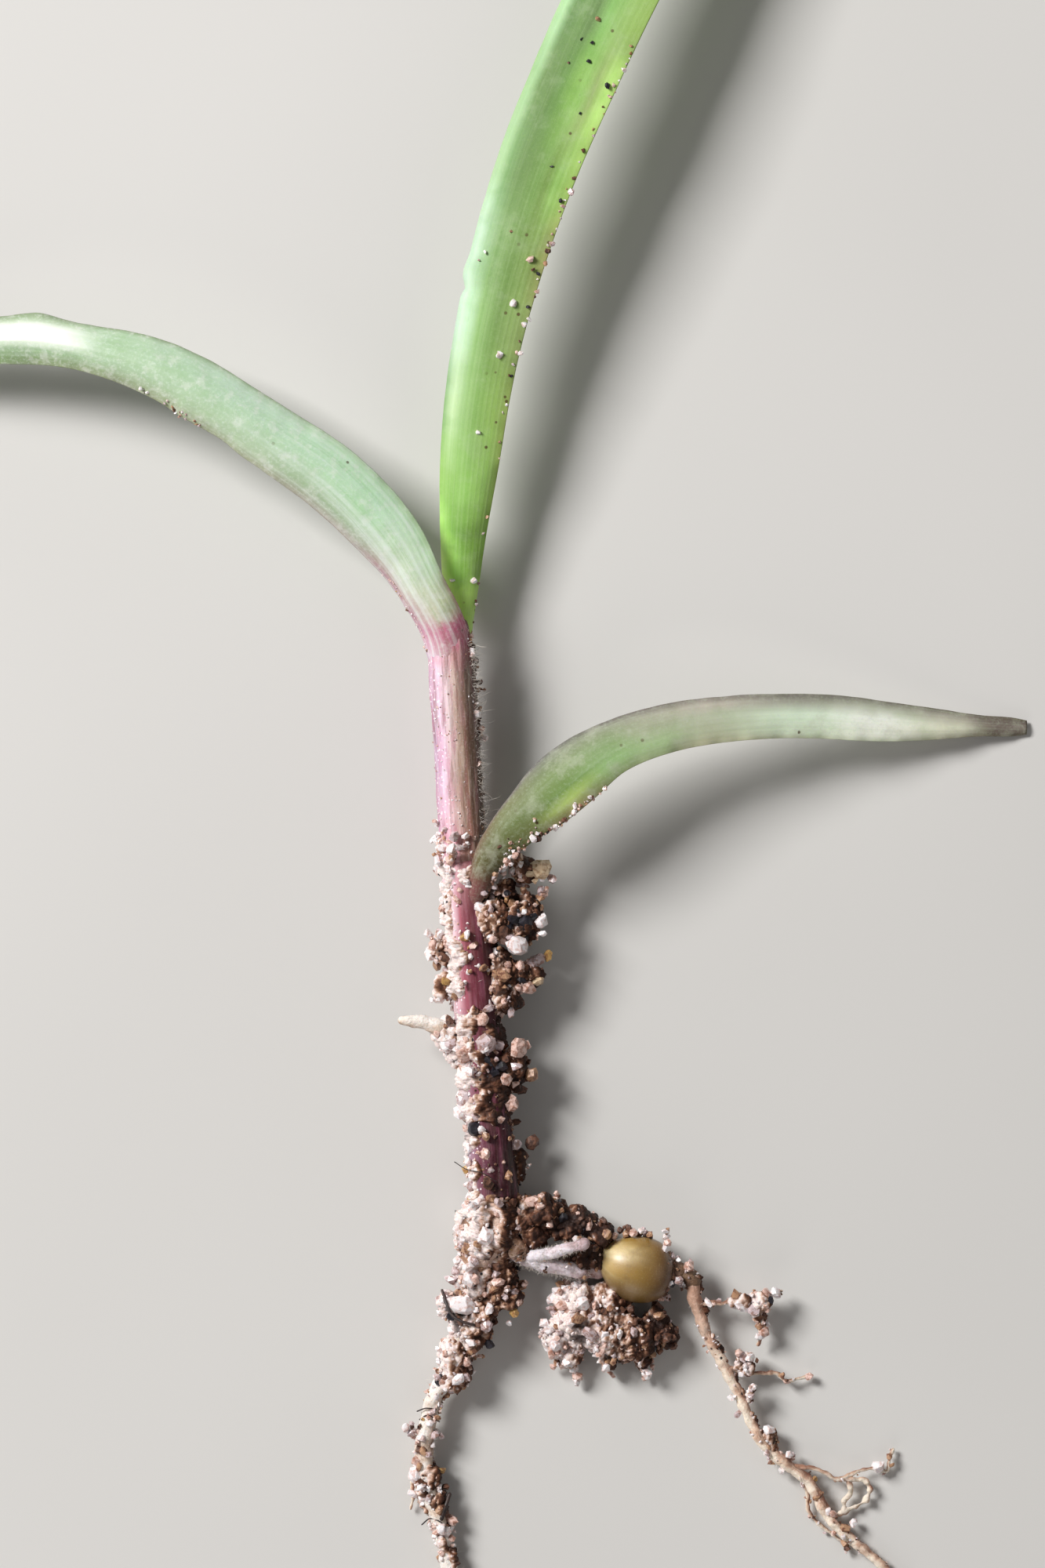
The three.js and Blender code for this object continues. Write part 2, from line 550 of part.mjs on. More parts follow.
// The zero is moved to the middle of the plant's box, on the surface that it lies on.
const box = new THREE.Box3().setFromObject(plant);
const middle = box.getCenter(new THREE.Vector3());
plant.position.set(-middle.x, -middle.y, -box.min.z);

export default plant;
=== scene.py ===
"""A foxtail millet seedling, pulled from sandy soil with its seed and roots and laid on a pale floor.

Lengths here are in millimetres, measured from the crown, where shoot and roots meet, and +Z is up.
to_model() turns them into metres in the part's own frame.
"""
import math

import bmesh
import bpy
import numpy as np
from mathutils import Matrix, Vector, noise


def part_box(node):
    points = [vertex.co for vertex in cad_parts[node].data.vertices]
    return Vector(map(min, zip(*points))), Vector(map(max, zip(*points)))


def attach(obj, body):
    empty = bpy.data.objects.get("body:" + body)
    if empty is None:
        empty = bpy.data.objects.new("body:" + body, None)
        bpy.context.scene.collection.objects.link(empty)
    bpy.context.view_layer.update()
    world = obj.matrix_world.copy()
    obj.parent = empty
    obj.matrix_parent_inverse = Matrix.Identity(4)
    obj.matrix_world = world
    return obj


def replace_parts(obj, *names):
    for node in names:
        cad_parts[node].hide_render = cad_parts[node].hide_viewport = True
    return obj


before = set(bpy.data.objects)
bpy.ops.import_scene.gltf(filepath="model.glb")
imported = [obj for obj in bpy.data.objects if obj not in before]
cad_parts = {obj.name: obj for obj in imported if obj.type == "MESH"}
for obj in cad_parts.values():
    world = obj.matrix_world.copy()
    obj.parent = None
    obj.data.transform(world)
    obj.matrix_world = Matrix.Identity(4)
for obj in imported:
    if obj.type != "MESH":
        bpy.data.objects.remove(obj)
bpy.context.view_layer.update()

MM = 0.001
UP = np.array([0.0, 0.0, 1.0])
TURN = 2 * math.pi

# Driving dimensions
BLADE = {"middle": 0.17, "margin": 0.05}  # how thick the real blades are
RIPPLE = 0.03  # how far their margins wave up and down
STEM = {"foot": 0.7, "waist": 0.63, "top": 0.62}  # radii of the rolled sheaths
CROWN = {"top": 0.68, "belly": 0.86, "foot": 0.6}
SEED = {"length": 2.22, "width": 1.98, "thickness": 1.6, "lean": -0.13, "centre": (4.29, -2.01, 0.84)}
SEED_BOX_MIDDLE = (4.32, -2.06, 0.84)  # of the solid in the CAD
SEED_ROOT_SHEATH = {"head": 0.34, "tip": 0.24}
MAIN_ROOT = {"head": 0.34, "middle": 0.25, "tip": 0.09}
SEED_ROOT = {"head": 0.21, "middle": 0.15, "tip": 0.07}
ROOTLET = {"head": 0.075, "tip": 0.04}
MESOCOTYL_RADIUS = 0.26
STUB_RADIUS = 0.17
SPUR = {"head": 0.38, "tip": 0.12}
COMMON_GRAINS = (0.065, 0.19)  # the smallest and largest radius
FINE_GRAINS = (0.035, 0.07)
DUST = (0.025, 0.05)
LOWEST_SAND = 0.02  # above the floor
PEBBLE = {"large": 0.24, "small": 0.12}  # in a crust of sand

CAMERA = {"at": (1.046, 11.925, 226.05), "lens": 180, "sensor": 36, "near": 0.002, "far": 5}
FLOOR = 0.8  # metres along a side
LIGHTS = {  # place in millimetres, size in millimetres, watts and colour
    "key_light": ((-180, 120, 190), 100, 1.12, (1.0, 0.98, 0.96)),
    "fill_light": ((190, -40, 170), 160, 0.05, (1.0, 0.96, 0.92)),
    "low_light": ((-60, -220, 110), 120, 0.08, (1.0, 0.94, 0.9)),
}
DAYLIGHT = {"colour": (1, 0.98, 0.97, 1), "strength": 0.13}

# The model's zero, seen from the crown
low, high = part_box("seed")
ZERO = np.array(SEED_BOX_MIDDLE) - np.array((low + high) / 2) / MM


def to_model(points):
    return (np.asarray(points, float) - ZERO) * MM


# Routes and values along them

SPLINE_STEPS = 24  # between two given points


def unit(vectors):
    return vectors / np.linalg.norm(vectors, axis=-1, keepdims=True)


def spline(points):
    """Points along a centripetal Catmull-Rom curve through the given ones."""
    given = np.array(points, float)
    p = np.vstack([2 * given[0] - given[1], given, 2 * given[-1] - given[-2]])
    line = []
    for i in range(len(p) - 3):
        gaps = np.linalg.norm(np.diff(p[i:i + 4], axis=0), axis=1) ** 0.5
        t0, t1, t2, t3 = np.concatenate([[0], np.cumsum(gaps)])
        t = np.linspace(t1, t2, SPLINE_STEPS, endpoint=False)[:, None]
        a1 = ((t1 - t) * p[i] + (t - t0) * p[i + 1]) / (t1 - t0)
        a2 = ((t2 - t) * p[i + 1] + (t - t1) * p[i + 2]) / (t2 - t1)
        a3 = ((t3 - t) * p[i + 2] + (t - t2) * p[i + 3]) / (t3 - t2)
        b1 = ((t2 - t) * a1 + (t - t0) * a2) / (t2 - t0)
        b2 = ((t3 - t) * a2 + (t - t1) * a3) / (t3 - t1)
        line.append(((t2 - t) * b1 + (t - t1) * b2) / (t2 - t1))
    return np.vstack([*line, given[-1]])


class Route:
    """A smooth line through points, read by share of its length."""

    def __init__(self, *points):
        self.line = spline(points)
        run = np.concatenate([[0], np.cumsum(np.linalg.norm(np.diff(self.line, axis=0), axis=1))])
        self.length = run[-1]
        self.shares = run / self.length

    def at(self, shares):
        return np.stack([np.interp(shares, self.shares, self.line[:, axis]) for axis in range(3)], -1)

    def frames(self, shares):
        """The centre, and the directions along, across and up. Past its ends it runs straight on."""
        shares = np.atleast_1d(np.asarray(shares, float))
        inside = np.clip(shares, 0, 1)
        step = 0.008
        along = unit(self.at(np.minimum(inside + step, 1)) - self.at(np.maximum(inside - step, 0)))
        centre = self.at(inside) + along * ((shares - inside) * self.length)[:, None]
        across = unit(np.cross(along, UP))
        return centre, along, across, np.cross(across, along)


def profile(*stations):
    """A smooth value along a piece, from 0 to 1, through stations of (share of the length, value)."""
    at, value = np.array(stations, float).T
    slope = np.gradient(value, at)

    def smooth(shares):
        shares = np.clip(shares, at[0], at[-1])
        i = np.clip(np.searchsorted(at, shares, side="right") - 1, 0, len(at) - 2)
        step = at[i + 1] - at[i]
        t = (shares - at[i]) / step
        rise = t * (1 - t) ** 2 * step * slope[i] + t * t * (t - 1) * step * slope[i + 1]
        return (1 + 2 * t) * (1 - t) ** 2 * value[i] + t * t * (3 - 2 * t) * value[i + 1] + rise

    return smooth


def same(value):
    return lambda shares: np.full(np.shape(shares), float(value))


def fade(values, start, end):
    """From 0 at start to 1 at end, with soft ends."""
    t = np.clip((np.asarray(values, float) - start) / (end - start), 0, 1)
    return t * t * (3 - 2 * t)


def unevenness(points, size, shift=0.0):
    """Smooth noise of about -1 to 1 at points, with bumps of that size."""
    flat = np.reshape(points, (-1, 3)) / size + shift
    return np.array([noise.noise(Vector(p)) for p in flat]).reshape(np.shape(points)[:-1]) * 1.6


def pebbles(points, size):
    """Packed pebbles of that size: a dome over each, the seams between them, and a number for each, spread
    from 0 to 1 by a sine of its middle."""
    near, next_near, middle = [], [], []
    for point in np.reshape(points, (-1, 3)) / size:
        away, centres = noise.voronoi(Vector(point))
        near.append(away[0])
        next_near.append(away[1])
        middle.append(centres[0])
    near, next_near = np.array(near), np.array(next_near)
    number = np.sin(np.array(middle) @ np.array((12.99, 78.23, 37.72))) * 43758.5 % 1
    shape = np.shape(points)[:-1]
    return (np.clip(1 - near**2, 0, 1).reshape(shape), fade(next_near - near, 0, 0.3).reshape(shape),
            number.reshape(shape))


def crumbly(points):
    """How far a crust of sand stands out in millimetres, and the values that its look reads."""
    dome, seam, number = pebbles(points, PEBBLE["large"])
    small_dome, small_seam, small_number = pebbles(points, PEBBLE["small"])
    lumps = 0.12 * unevenness(points, 0.6, 5.0) + 0.08 * unevenness(points, 0.25)
    height = lumps + 0.06 * dome * seam + 0.03 * small_dome * small_seam
    values = {"seam": (seam + small_seam) / 2, "number": (number + small_number) / 2,
              "hollow": fade(height, 0.04, -0.1)}
    return height, values


# The leaves


class Leaf:
    """A blade whose width is how wide it looks from above. Across it, its surface tilts by roll, by curl
    more towards each margin, and by fold more past the midrib, which lies at rib, from -1 to 1. A nick is
    a (share of the length, side, depth, length) where a margin bulges out, or in where depth is negative."""

    def __init__(self, route, width, roll, curl, fold, rib, crease, nicks=()):
        self.route = route
        self.width = width
        self.roll = roll
        self.curl = curl
        self.fold = fold
        self.rib = rib
        self.crease = crease
        self.nicks = nicks

    def surface(self, shares, spans):
        """Its middle surface and the way out of its upper face, at shares along it and spans across it."""
        centre, _, across, up = self.route.frames(shares)
        fine = np.linspace(-1, 1, 97)
        s, u = np.meshgrid(shares, fine, indexing="ij")
        folded = (1 + np.tanh((u - self.rib(s)) * self.crease)) / 2
        turn = self.roll(s) + self.curl(s) * u + self.fold(s) * folded
        zero = np.zeros((len(shares), 1))
        mean = (turn[:, 1:] + turn[:, :-1]) / 2
        x = np.hstack([zero, np.cumsum(np.cos(mean), axis=1)])
        z = np.hstack([zero, -np.cumsum(np.sin(mean), axis=1)])
        spread = x.max(1, keepdims=True) - x.min(1, keepdims=True)
        scale = self.width(shares)[:, None] / spread
        x = (x - (x.max(1, keepdims=True) + x.min(1, keepdims=True)) / 2) * scale
        z = (z - z.mean(1, keepdims=True)) * scale
        run = shares[:, None] * self.route.length
        wave = np.sin(run * 1.9 + 1) + 0.6 * np.sin(run * 4.3) + 0.35 * np.sin(run * 9.7)
        z = z + RIPPLE * wave * np.sign(fine) * np.abs(fine) ** 3
        for share, side, depth, length in self.nicks:
            near = np.exp(-((run - share * self.route.length) / length) ** 2)
            x = x + side * depth * near * np.clip(side * fine, 0, 1) ** 2
        at = [np.array([np.interp(spans, fine, row) for row in part]) for part in (x, z, turn)]
        x, z, turn = (part[..., None] for part in at)
        points = centre[:, None] + x * across[:, None] + z * up[:, None]
        out = np.sin(turn) * across[:, None] + np.cos(turn) * up[:, None]
        return points, out


FIRST_LEAF = Leaf(
    Route((-0.42, 8.3, 1.72), (0.04, 9.66, 2.27), (0.68, 10.55, 2.53), (1.5, 11.33, 2.7),
          (2.45, 12.16, 2.8), (3.58, 12.94, 2.8), (5.15, 13.5, 2.6), (7.17, 13.8, 2.15),
          (9.43, 13.86, 1.55), (11.7, 13.7, 0.95), (13.65, 13.62, 0.5), (15.58, 13.55, 0.14)),
    width=profile((0, 0.2), (0.04, 0.6), (0.09, 0.92), (0.17, 1.4), (0.22, 1.76), (0.28, 1.8), (0.34, 1.54),
                  (0.45, 1.36), (0.6, 1.26), (0.74, 1.22), (0.84, 0.95), (0.93, 0.6), (0.985, 0.5), (1, 0.4)),
    roll=profile((0, -0.5), (0.25, -0.3), (0.5, -0.25), (0.8, -0.25), (1, -0.1)),
    curl=profile((0, 0.85), (0.15, 0.55), (0.6, 0.42), (1, 0.3)),
    fold=profile((0, 0.3), (0.2, 0.1), (1, 0)),
    rib=same(0), crease=4)
SECOND_LEAF = Leaf(
    Route((-0.99, 15.0, 1.8), (-1.04, 15.6, 1.99), (-1.14, 16.1, 2.13), (-1.34, 16.65, 2.32),
          (-1.76, 17.41, 2.5), (-2.45, 18.57, 2.65), (-3.4, 19.7, 2.8), (-4.57, 20.76, 2.9),
          (-5.79, 21.59, 2.95), (-7.13, 22.48, 2.95), (-8.47, 23.33, 2.9), (-9.82, 23.94, 2.75),
          (-11.39, 24.35, 2.55), (-12.97, 24.59, 2.3), (-15.23, 24.52, 1.85), (-17.52, 24.1, 1.35),
          (-19.82, 23.37, 0.85), (-21.9, 22.44, 0.45), (-23.76, 21.43, 0.1)),
    width=profile((0, 1.0), (0.02, 1.22), (0.04, 1.27), (0.065, 1.3), (0.1, 1.36), (0.165, 1.8),
                  (0.23, 1.92), (0.33, 1.82), (0.46, 1.62), (0.535, 1.32), (0.6, 1.38), (0.67, 1.24),
                  (0.81, 0.95), (0.92, 0.5), (1, 0.1)),
    roll=profile((0, 0), (0.03, -0.1), (0.07, -0.35), (0.11, -0.4), (0.18, -0.25), (0.42, 0),
                 (0.57, 0.15), (0.71, 0.15), (1, 0)),
    curl=profile((0, 1.4), (0.03, 1.25), (0.06, 0.95), (0.1, 0.8), (0.2, 0.7), (0.33, 0.65),
                 (0.6, 0.6), (1, 0.5)),
    fold=profile((0, 0), (0.1, 0.15), (0.5, 0.3), (1, 0.2)),
    rib=same(0), crease=4, nicks=[(0.585, 1, 0.1, 0.6), (0.36, -1, -0.06, 0.5), (0.41, -1, 0.05, 0.4)])
THIRD_LEAF = Leaf(
    Route((-0.82, 15.3, 1.55), (-0.8, 16.1, 1.57), (-0.76, 16.9, 1.6), (-0.72, 17.6, 1.63),
          (-0.68, 18.65, 1.75), (-0.49, 20.88, 2.05), (-0.22, 23.1, 2.35), (0.21, 25.32, 2.6),
          (0.81, 27.54, 2.8), (1.57, 29.77, 2.95), (2.51, 31.99, 3.0), (3.53, 34.23, 2.95),
          (4.81, 36.71, 2.75), (6.38, 39.43, 2.45), (8.29, 42.16, 2.05), (10.55, 44.93, 1.55),
          (13.06, 47.49, 0.95), (15.45, 49.71, 0.5), (17.63, 51.72, 0.13)),
    width=profile((0, 0.6), (0.035, 0.82), (0.08, 1.22), (0.14, 1.68), (0.21, 1.92), (0.31, 2.25),
                  (0.42, 2.48), (0.52, 2.55), (0.64, 2.36), (0.78, 1.8), (0.9, 0.98), (1, 0.12)),
    roll=profile((0, 0), (0.2, -0.1), (0.35, -0.2), (0.6, -0.15), (1, 0)),
    curl=profile((0, 1.3), (0.08, 0.8), (0.16, 0.45), (0.25, 0.4), (0.5, 0.35), (1, 0.2)),
    fold=profile((0, 0), (0.1, -0.05), (0.3, -0.2), (0.5, -0.25), (1, -0.15)),
    rib=profile((0, 0.3), (0.3, 0.42), (1, 0.1)), crease=5,
    nicks=[(0.262, -1, 0.07, 0.3), (0.251, -1, -0.09, 0.15)])

# The stem and roots

LIMBS = {  # the line through the middle of each round piece, and the radius along it
    "lower_sheath": (
        Route((0.23, 0.1, 1.15), (0.11, 1.8, 1.15), (-0.07, 3.38, 1.15), (-0.25, 5.18, 1.17),
              (-0.4, 6.98, 1.23), (-0.55, 8.6, 1.29), (-0.64, 9.66, 1.35)),
        profile((0, STEM["foot"]), (0.3, STEM["waist"]), (0.75, STEM["waist"] + 0.02),
                (1, STEM["top"] + 0.02))),
    "upper_sheath": (
        Route((-0.62, 9.4, 1.33), (-0.65, 9.86, 1.35), (-0.73, 11.03, 1.4), (-0.82, 12.6, 1.5),
              (-0.91, 14.17, 1.6), (-0.99, 15.5, 1.65), (-1.04, 16.45, 1.68)),
        profile((0, STEM["top"] - 0.04), (0.08, STEM["top"]), (0.5, STEM["top"] + 0.03),
                (0.9, STEM["top"]), (1, STEM["top"] - 0.1))),
    "crown": (
        Route((-0.2, -1.55, 1.05), (-0.03, -1.1, 1.08), (0.18, -0.55, 1.13), (0.22, -0.06, 1.15)),
        profile((0, CROWN["foot"]), (0.5, CROWN["belly"]), (1, CROWN["top"]))),
    "crown_hook": (
        Route((0.2, -0.45, 1.3), (0.45, -0.92, 1.42), (0.79, -1.35, 1.4), (1.1, -1.62, 1.28)),
        profile((0, 0.48), (0.55, 0.34), (1, 0.22))),
    "main_root": (
        Route((-0.15, -1.4, 1.05), (-0.21, -1.67, 1.05), (-0.24, -2.3, 1.03), (-0.38, -3.04, 0.95),
              (-0.68, -3.96, 0.85), (-1.08, -4.87, 0.75), (-1.45, -5.66, 0.68), (-1.67, -6.46, 0.61),
              (-1.79, -7.26, 0.54), (-1.74, -8.05, 0.49), (-1.49, -8.85, 0.43), (-1.27, -9.64, 0.39),
              (-1.09, -10.48, 0.34), (-0.68, -11.8, 0.28), (-0.19, -13.4, 0.23), (0.04, -15.21, 0.18),
              (-0.19, -17.03, 0.14), (-0.68, -18.84, 0.1)),
        profile((0, MAIN_ROOT["head"]), (0.14, MAIN_ROOT["middle"]), (0.34, MAIN_ROOT["middle"]),
                (0.66, 0.72 * MAIN_ROOT["middle"]), (1, MAIN_ROOT["tip"]))),
    "seed_root": (
        Route((5.86, -2.25, 0.75), (5.92, -2.42, 0.75), (6.02, -2.95, 0.73), (6.27, -3.7, 0.69),
              (6.72, -4.58, 0.65), (7.17, -5.44, 0.61), (7.55, -6.3, 0.56), (8.01, -7.08, 0.51),
              (8.64, -7.63, 0.45), (9.26, -8.13, 0.39), (9.67, -8.82, 0.34), (10.07, -9.45, 0.3),
              (10.66, -9.96, 0.26), (11.3, -10.5, 0.22), (12.21, -11.37, 0.18), (13.23, -12.28, 0.14),
              (14.02, -13.42, 0.11), (14.52, -14.78, 0.08)),
        profile((0, SEED_ROOT["head"]), (0.2, SEED_ROOT["middle"]), (0.45, 1.12 * SEED_ROOT["middle"]),
                (0.7, 0.8 * SEED_ROOT["middle"]), (1, SEED_ROOT["tip"]))),
    "mesocotyl": (
        Route((0.3, -1.2, 1.1), (0.9, -1.52, 1.17), (1.3, -1.7, 1.23), (1.85, -1.88, 1.25),
              (2.6, -2.03, 1.05), (3.2, -2.08, 0.72)),
        profile((0, 0.34), (0.3, MESOCOTYL_RADIUS), (1, MESOCOTYL_RADIUS - 0.02))),
    "white_root_stub": (
        Route((1.3, -1.62, 1.4), (1.8, -1.53, 1.55), (2.25, -1.4, 1.68), (2.8, -1.22, 1.76)),
        same(STUB_RADIUS)),
    "root_spur": (
        Route((-0.4, 4.45, 1.2), (-1.0, 4.8, 1.27), (-1.6, 5.05, 1.33), (-2.4, 5.14, 1.37)),
        profile((0, SPUR["head"]), (0.45, 0.7 * SPUR["head"]), (1, SPUR["tip"]))),
    "seed_root_sheath": (
        Route((5.05, -2.08, 0.78), (5.5, -2.1, 0.76), (5.75, -2.18, 0.76), (5.95, -2.34, 0.75)),
        profile((0, SEED_ROOT_SHEATH["head"]), (1, SEED_ROOT_SHEATH["tip"]))),
}
ROOTLETS = [
    Route((6.0, -3.2, 0.7), (6.37, -2.97, 0.75), (6.8, -3.0, 0.75), (7.2, -2.88, 0.75), (7.7, -2.95, 0.7),
          (8.1, -2.78, 0.65), (8.5, -2.66, 0.6)),
    Route((6.9, -4.85, 0.64), (7.5, -5.0, 0.56), (8.05, -5.03, 0.45), (8.35, -5.03, 0.4),
          (8.62, -5.26, 0.34), (9.0, -5.2, 0.28), (9.32, -5.13, 0.22)),
    Route((8.7, -7.72, 0.43), (9.4, -7.76, 0.47), (9.79, -7.92, 0.46), (10.06, -8.08, 0.44),
          (10.46, -7.97, 0.41), (10.8, -7.83, 0.36), (11.3, -7.78, 0.28), (11.54, -7.88, 0.24),
          (11.61, -7.54, 0.22), (11.72, -7.25, 0.2)),
    Route((9.15, -8.1, 0.36), (9.24, -8.45, 0.3), (9.29, -9.0, 0.24), (9.55, -9.36, 0.19),
          (9.95, -9.68, 0.15), (10.38, -9.96, 0.12)),
    Route((-1.8, -7.3, 0.5), (-2.05, -7.7, 0.4), (-2.13, -8.3, 0.3), (-2.1, -8.6, 0.26),
          (-2.17, -8.95, 0.2)),
]

# Clumps of damp sand: the middle and radii of each egg-shaped core, then of the lobes on it, how many grains,
# how dim it is, partly soil tone and partly painted shade, and how much dimmer it gets for each millimetre
# towards +X, away from the light: painted shade
CLUMPS = {
    "sand_at_leaf_base": (
        [((1.15, 9.45, 1.6), (0.42, 0.24, 0.35)), ((0.98, 8.05, 1.38), (0.66, 0.84, 0.6)),
         ((0.72, 6.45, 1.3), (0.56, 0.5, 0.5)), ((0.5, 5.85, 1.3), (0.4, 0.45, 0.42))],
        [((1.35, 6.45, 1.2), (0.35, 0.3, 0.3)), ((0.55, 8.85, 1.5), (0.4, 0.3, 0.4)),
         ((0.22, 8.05, 1.75), (0.42, 0.72, 0.34)), ((0.42, 6.6, 1.55), (0.38, 0.6, 0.36))], 270, 0.4, 0.3),
    "sand_left_of_stem": (
        [((-1.3, 7.25, 1.2), (0.3, 0.5, 0.35))], [((-1.2, 6.1, 1.3), (0.2, 0.35, 0.25))], 50, 0.12, 0.3),
    "sand_low_on_stem": (
        [((0.8, 3.7, 1.15), (0.38, 0.7, 0.42))], [((0.98, 1.0, 1.0), (0.16, 0.36, 0.12))], 70, 0.6, 0.3),
    "sand_at_crown": (
        [((1.5, -0.35, 1.15), (0.75, 0.5, 0.6)), ((2.4, -0.75, 1.0), (0.8, 0.5, 0.55))],
        [((1.0, -0.5, 1.15), (0.6, 0.6, 0.6)), ((1.25, -0.95, 1.1), (0.55, 0.45, 0.5)),
         ((3.15, -0.95, 1.0), (0.5, 0.28, 0.42)), ((2.9, -1.62, 0.95), (0.5, 0.36, 0.42)),
         ((2.2, -1.75, 0.95), (0.7, 0.3, 0.35))], 120, 0.72, 0.35),
    "sand_under_seed": (
        [((2.95, -3.65, 0.7), (1.0, 0.7, 0.6)), ((3.95, -3.95, 0.7), (1.05, 0.72, 0.6))],
        [((2.5, -2.85, 0.75), (0.5, 0.42, 0.45)), ((2.0, -4.0, 0.6), (0.36, 0.48, 0.42)),
         ((4.8, -3.6, 0.6), (0.4, 0.4, 0.4)), ((5.05, -3.95, 0.5), (0.38, 0.38, 0.38)),
         ((4.5, -4.6, 0.45), (0.26, 0.42, 0.35)), ((2.4, -4.6, 0.45), (0.32, 0.38, 0.32)),
         ((3.5, -4.5, 0.45), (0.26, 0.36, 0.32)), ((3.5, -2.85, 0.7), (0.6, 0.35, 0.4))], 280, 0.04, 0.52),
    "sand_on_main_root": (
        [((0.3, -2.7, 0.85), (0.72, 0.55, 0.5)), ((-0.42, -3.45, 0.9), (0.66, 0.85, 0.62)),
         ((-0.98, -4.75, 0.75), (0.44, 0.8, 0.5))],
        [((0.5, -2.2, 0.8), (0.45, 0.75, 0.5)), ((-0.5, -2.1, 0.95), (0.4, 0.6, 0.5)),
         ((-0.95, -3.0, 0.95), (0.42, 0.42, 0.42)), ((-0.75, -5.0, 0.7), (0.26, 0.25, 0.3))],
        300, -0.02, 0.4),
}
SPUR_SAND = [((-1.1, 4.72, 1.2), (0.42, 0.46, 0.4)), ((-0.8, 4.3, 1.25), (0.3, 0.5, 0.35))]
ROOTLET_SAND = [((7.35, -2.95, 0.75), (0.28, 0.14, 0.15)), ((7.85, -3.0, 0.7), (0.3, 0.3, 0.2)),
                ((7.92, -3.45, 0.58), (0.17, 0.35, 0.15)), ((7.45, -4.75, 0.62), (0.28, 0.3, 0.16)),
                ((7.65, -5.65, 0.62), (0.15, 0.25, 0.14)), ((8.2, -6.95, 0.5), (0.2, 0.28, 0.14))]
LOW_ROOT_SAND = [((-1.6, -8.1, 0.5), (0.28, 0.5, 0.28)), ((-1.4, -8.75, 0.48), (0.3, 0.5, 0.28))]
# Spikes of grains stuck end to end: from, to and the radius of the first grain
SPIKES = {
    "sand_at_leaf_base": [
        ((0.95, 9.8, 1.9), (1.02, 9.15, 1.85), 0.15), ((0.5, 9.5, 1.9), (0.47, 9.1, 1.85), 0.12),
        ((1.6, 8.6, 1.5), (1.72, 9.0, 1.55), 0.16), ((1.4, 6.5, 1.2), (1.6, 6.7, 1.2), 0.15)],
    "sand_left_of_stem": [
        ((-1.1, 6.0, 1.3), (-1.45, 5.95, 1.3), 0.1)],
    "sand_low_on_stem": [
        ((1.0, 4.3, 1.3), (1.25, 4.5, 1.3), 0.16), ((0.98, 0.7, 1.0), (1.3, 1.05, 1.0), 0.08)],
    "sand_at_crown": [
        ((1.95, -0.5, 1.0), (2.05, 0.22, 1.0), 0.16), ((3.0, -0.9, 1.0), (3.05, -0.55, 1.05), 0.12)],
    "sand_under_seed": [
        ((2.5, -4.75, 0.4), (2.62, -5.4, 0.3), 0.15), ((2.1, -4.6, 0.4), (1.9, -4.9, 0.35), 0.13),
        ((3.5, -4.75, 0.4), (3.62, -5.2, 0.3), 0.15), ((4.5, -4.9, 0.4), (4.62, -5.25, 0.3), 0.14),
        ((4.75, -4.7, 0.4), (4.85, -5.0, 0.3), 0.11), ((5.2, -3.8, 0.5), (5.5, -3.75, 0.5), 0.13),
        ((5.1, -4.1, 0.4), (5.45, -4.15, 0.4), 0.12), ((1.75, -3.6, 0.6), (1.6, -3.9, 0.6), 0.15)],
    "sand_on_main_root": [
        ((0.9, -2.5, 0.8), (1.2, -2.4, 0.8), 0.12), ((-0.5, -4.9, 0.5), (-0.35, -5.1, 0.5), 0.12)],
}

# Meshes

CAP = (0.4, 0.8, 1.15, 1.4, 1.54)  # angles of the rings that round off a tube's ends


def closed_faces(rows, columns):
    """Quads over rings of points, each ring joined to the next one and back round to its own start, and
    a face over each end."""
    corner = np.arange(rows * columns).reshape(rows, columns)
    right = np.roll(corner, -1, axis=1)
    quads = np.stack([corner[:-1], corner[1:], right[1:], right[:-1]], -1).reshape(-1, 4)
    return [*quads, corner[0], corner[-1, ::-1]]


def add_piece(name, points, faces, values, looks, kinds=None, smooth=True):
    """A mesh that rides on the plant. values are numbers that its look reads at each point, and kinds says
    which of the looks each face has."""
    mesh = bpy.data.meshes.new(name)
    mesh.from_pydata(to_model(points).tolist(), [], [list(map(int, face)) for face in faces])
    for key, value in values.items():
        layer = mesh.attributes.new(key, "FLOAT", "POINT")
        layer.data.foreach_set("value", np.ravel(value).astype(np.float32))
    for look in looks:
        mesh.materials.append(look)
    if kinds is not None:
        mesh.polygons.foreach_set("material_index", np.asarray(kinds, np.int32))
    mesh.polygons.foreach_set("use_smooth", np.full(len(mesh.polygons), smooth))
    mesh.update()
    piece = bpy.data.objects.new(name, mesh)
    bpy.context.scene.collection.objects.link(piece)
    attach(piece, "root")
    return piece


def tube(route, radius, sides, steps, relief=None, blunt=1.0):
    """Rings round a route, closed at both ends, with the values along, across and around."""
    shares = np.linspace(0, 1, steps + 1)
    angles = np.arange(sides) * TURN / sides
    centre, along, across, up = route.frames(shares)
    s, a = np.meshgrid(shares, angles, indexing="ij")
    way = np.cos(a)[..., None] * across[:, None] + np.sin(a)[..., None] * up[:, None]
    far = radius(s)
    if relief is not None:
        far = far + relief(centre[:, None] + far[..., None] * way, s, a)
    rings = list(centre[:, None] + far[..., None] * way)
    for end, sign in ((0, -1), (-1, 1)):
        reach = blunt * far[end].mean()
        rim = rings[end] - centre[end]
        caps = [centre[end] + along[end] * sign * reach * math.sin(t) + rim * math.cos(t) for t in CAP]
        rings = caps[::-1] + rings if sign < 0 else rings + caps
    rings = np.array(rings)
    s, a = (np.pad(value, ((len(CAP), len(CAP)), (0, 0)), mode="edge") for value in (s, a))
    values = {"along": s, "across": np.cos(a), "around": a / TURN}
    return rings.reshape(-1, 3), closed_faces(len(rings), sides), values


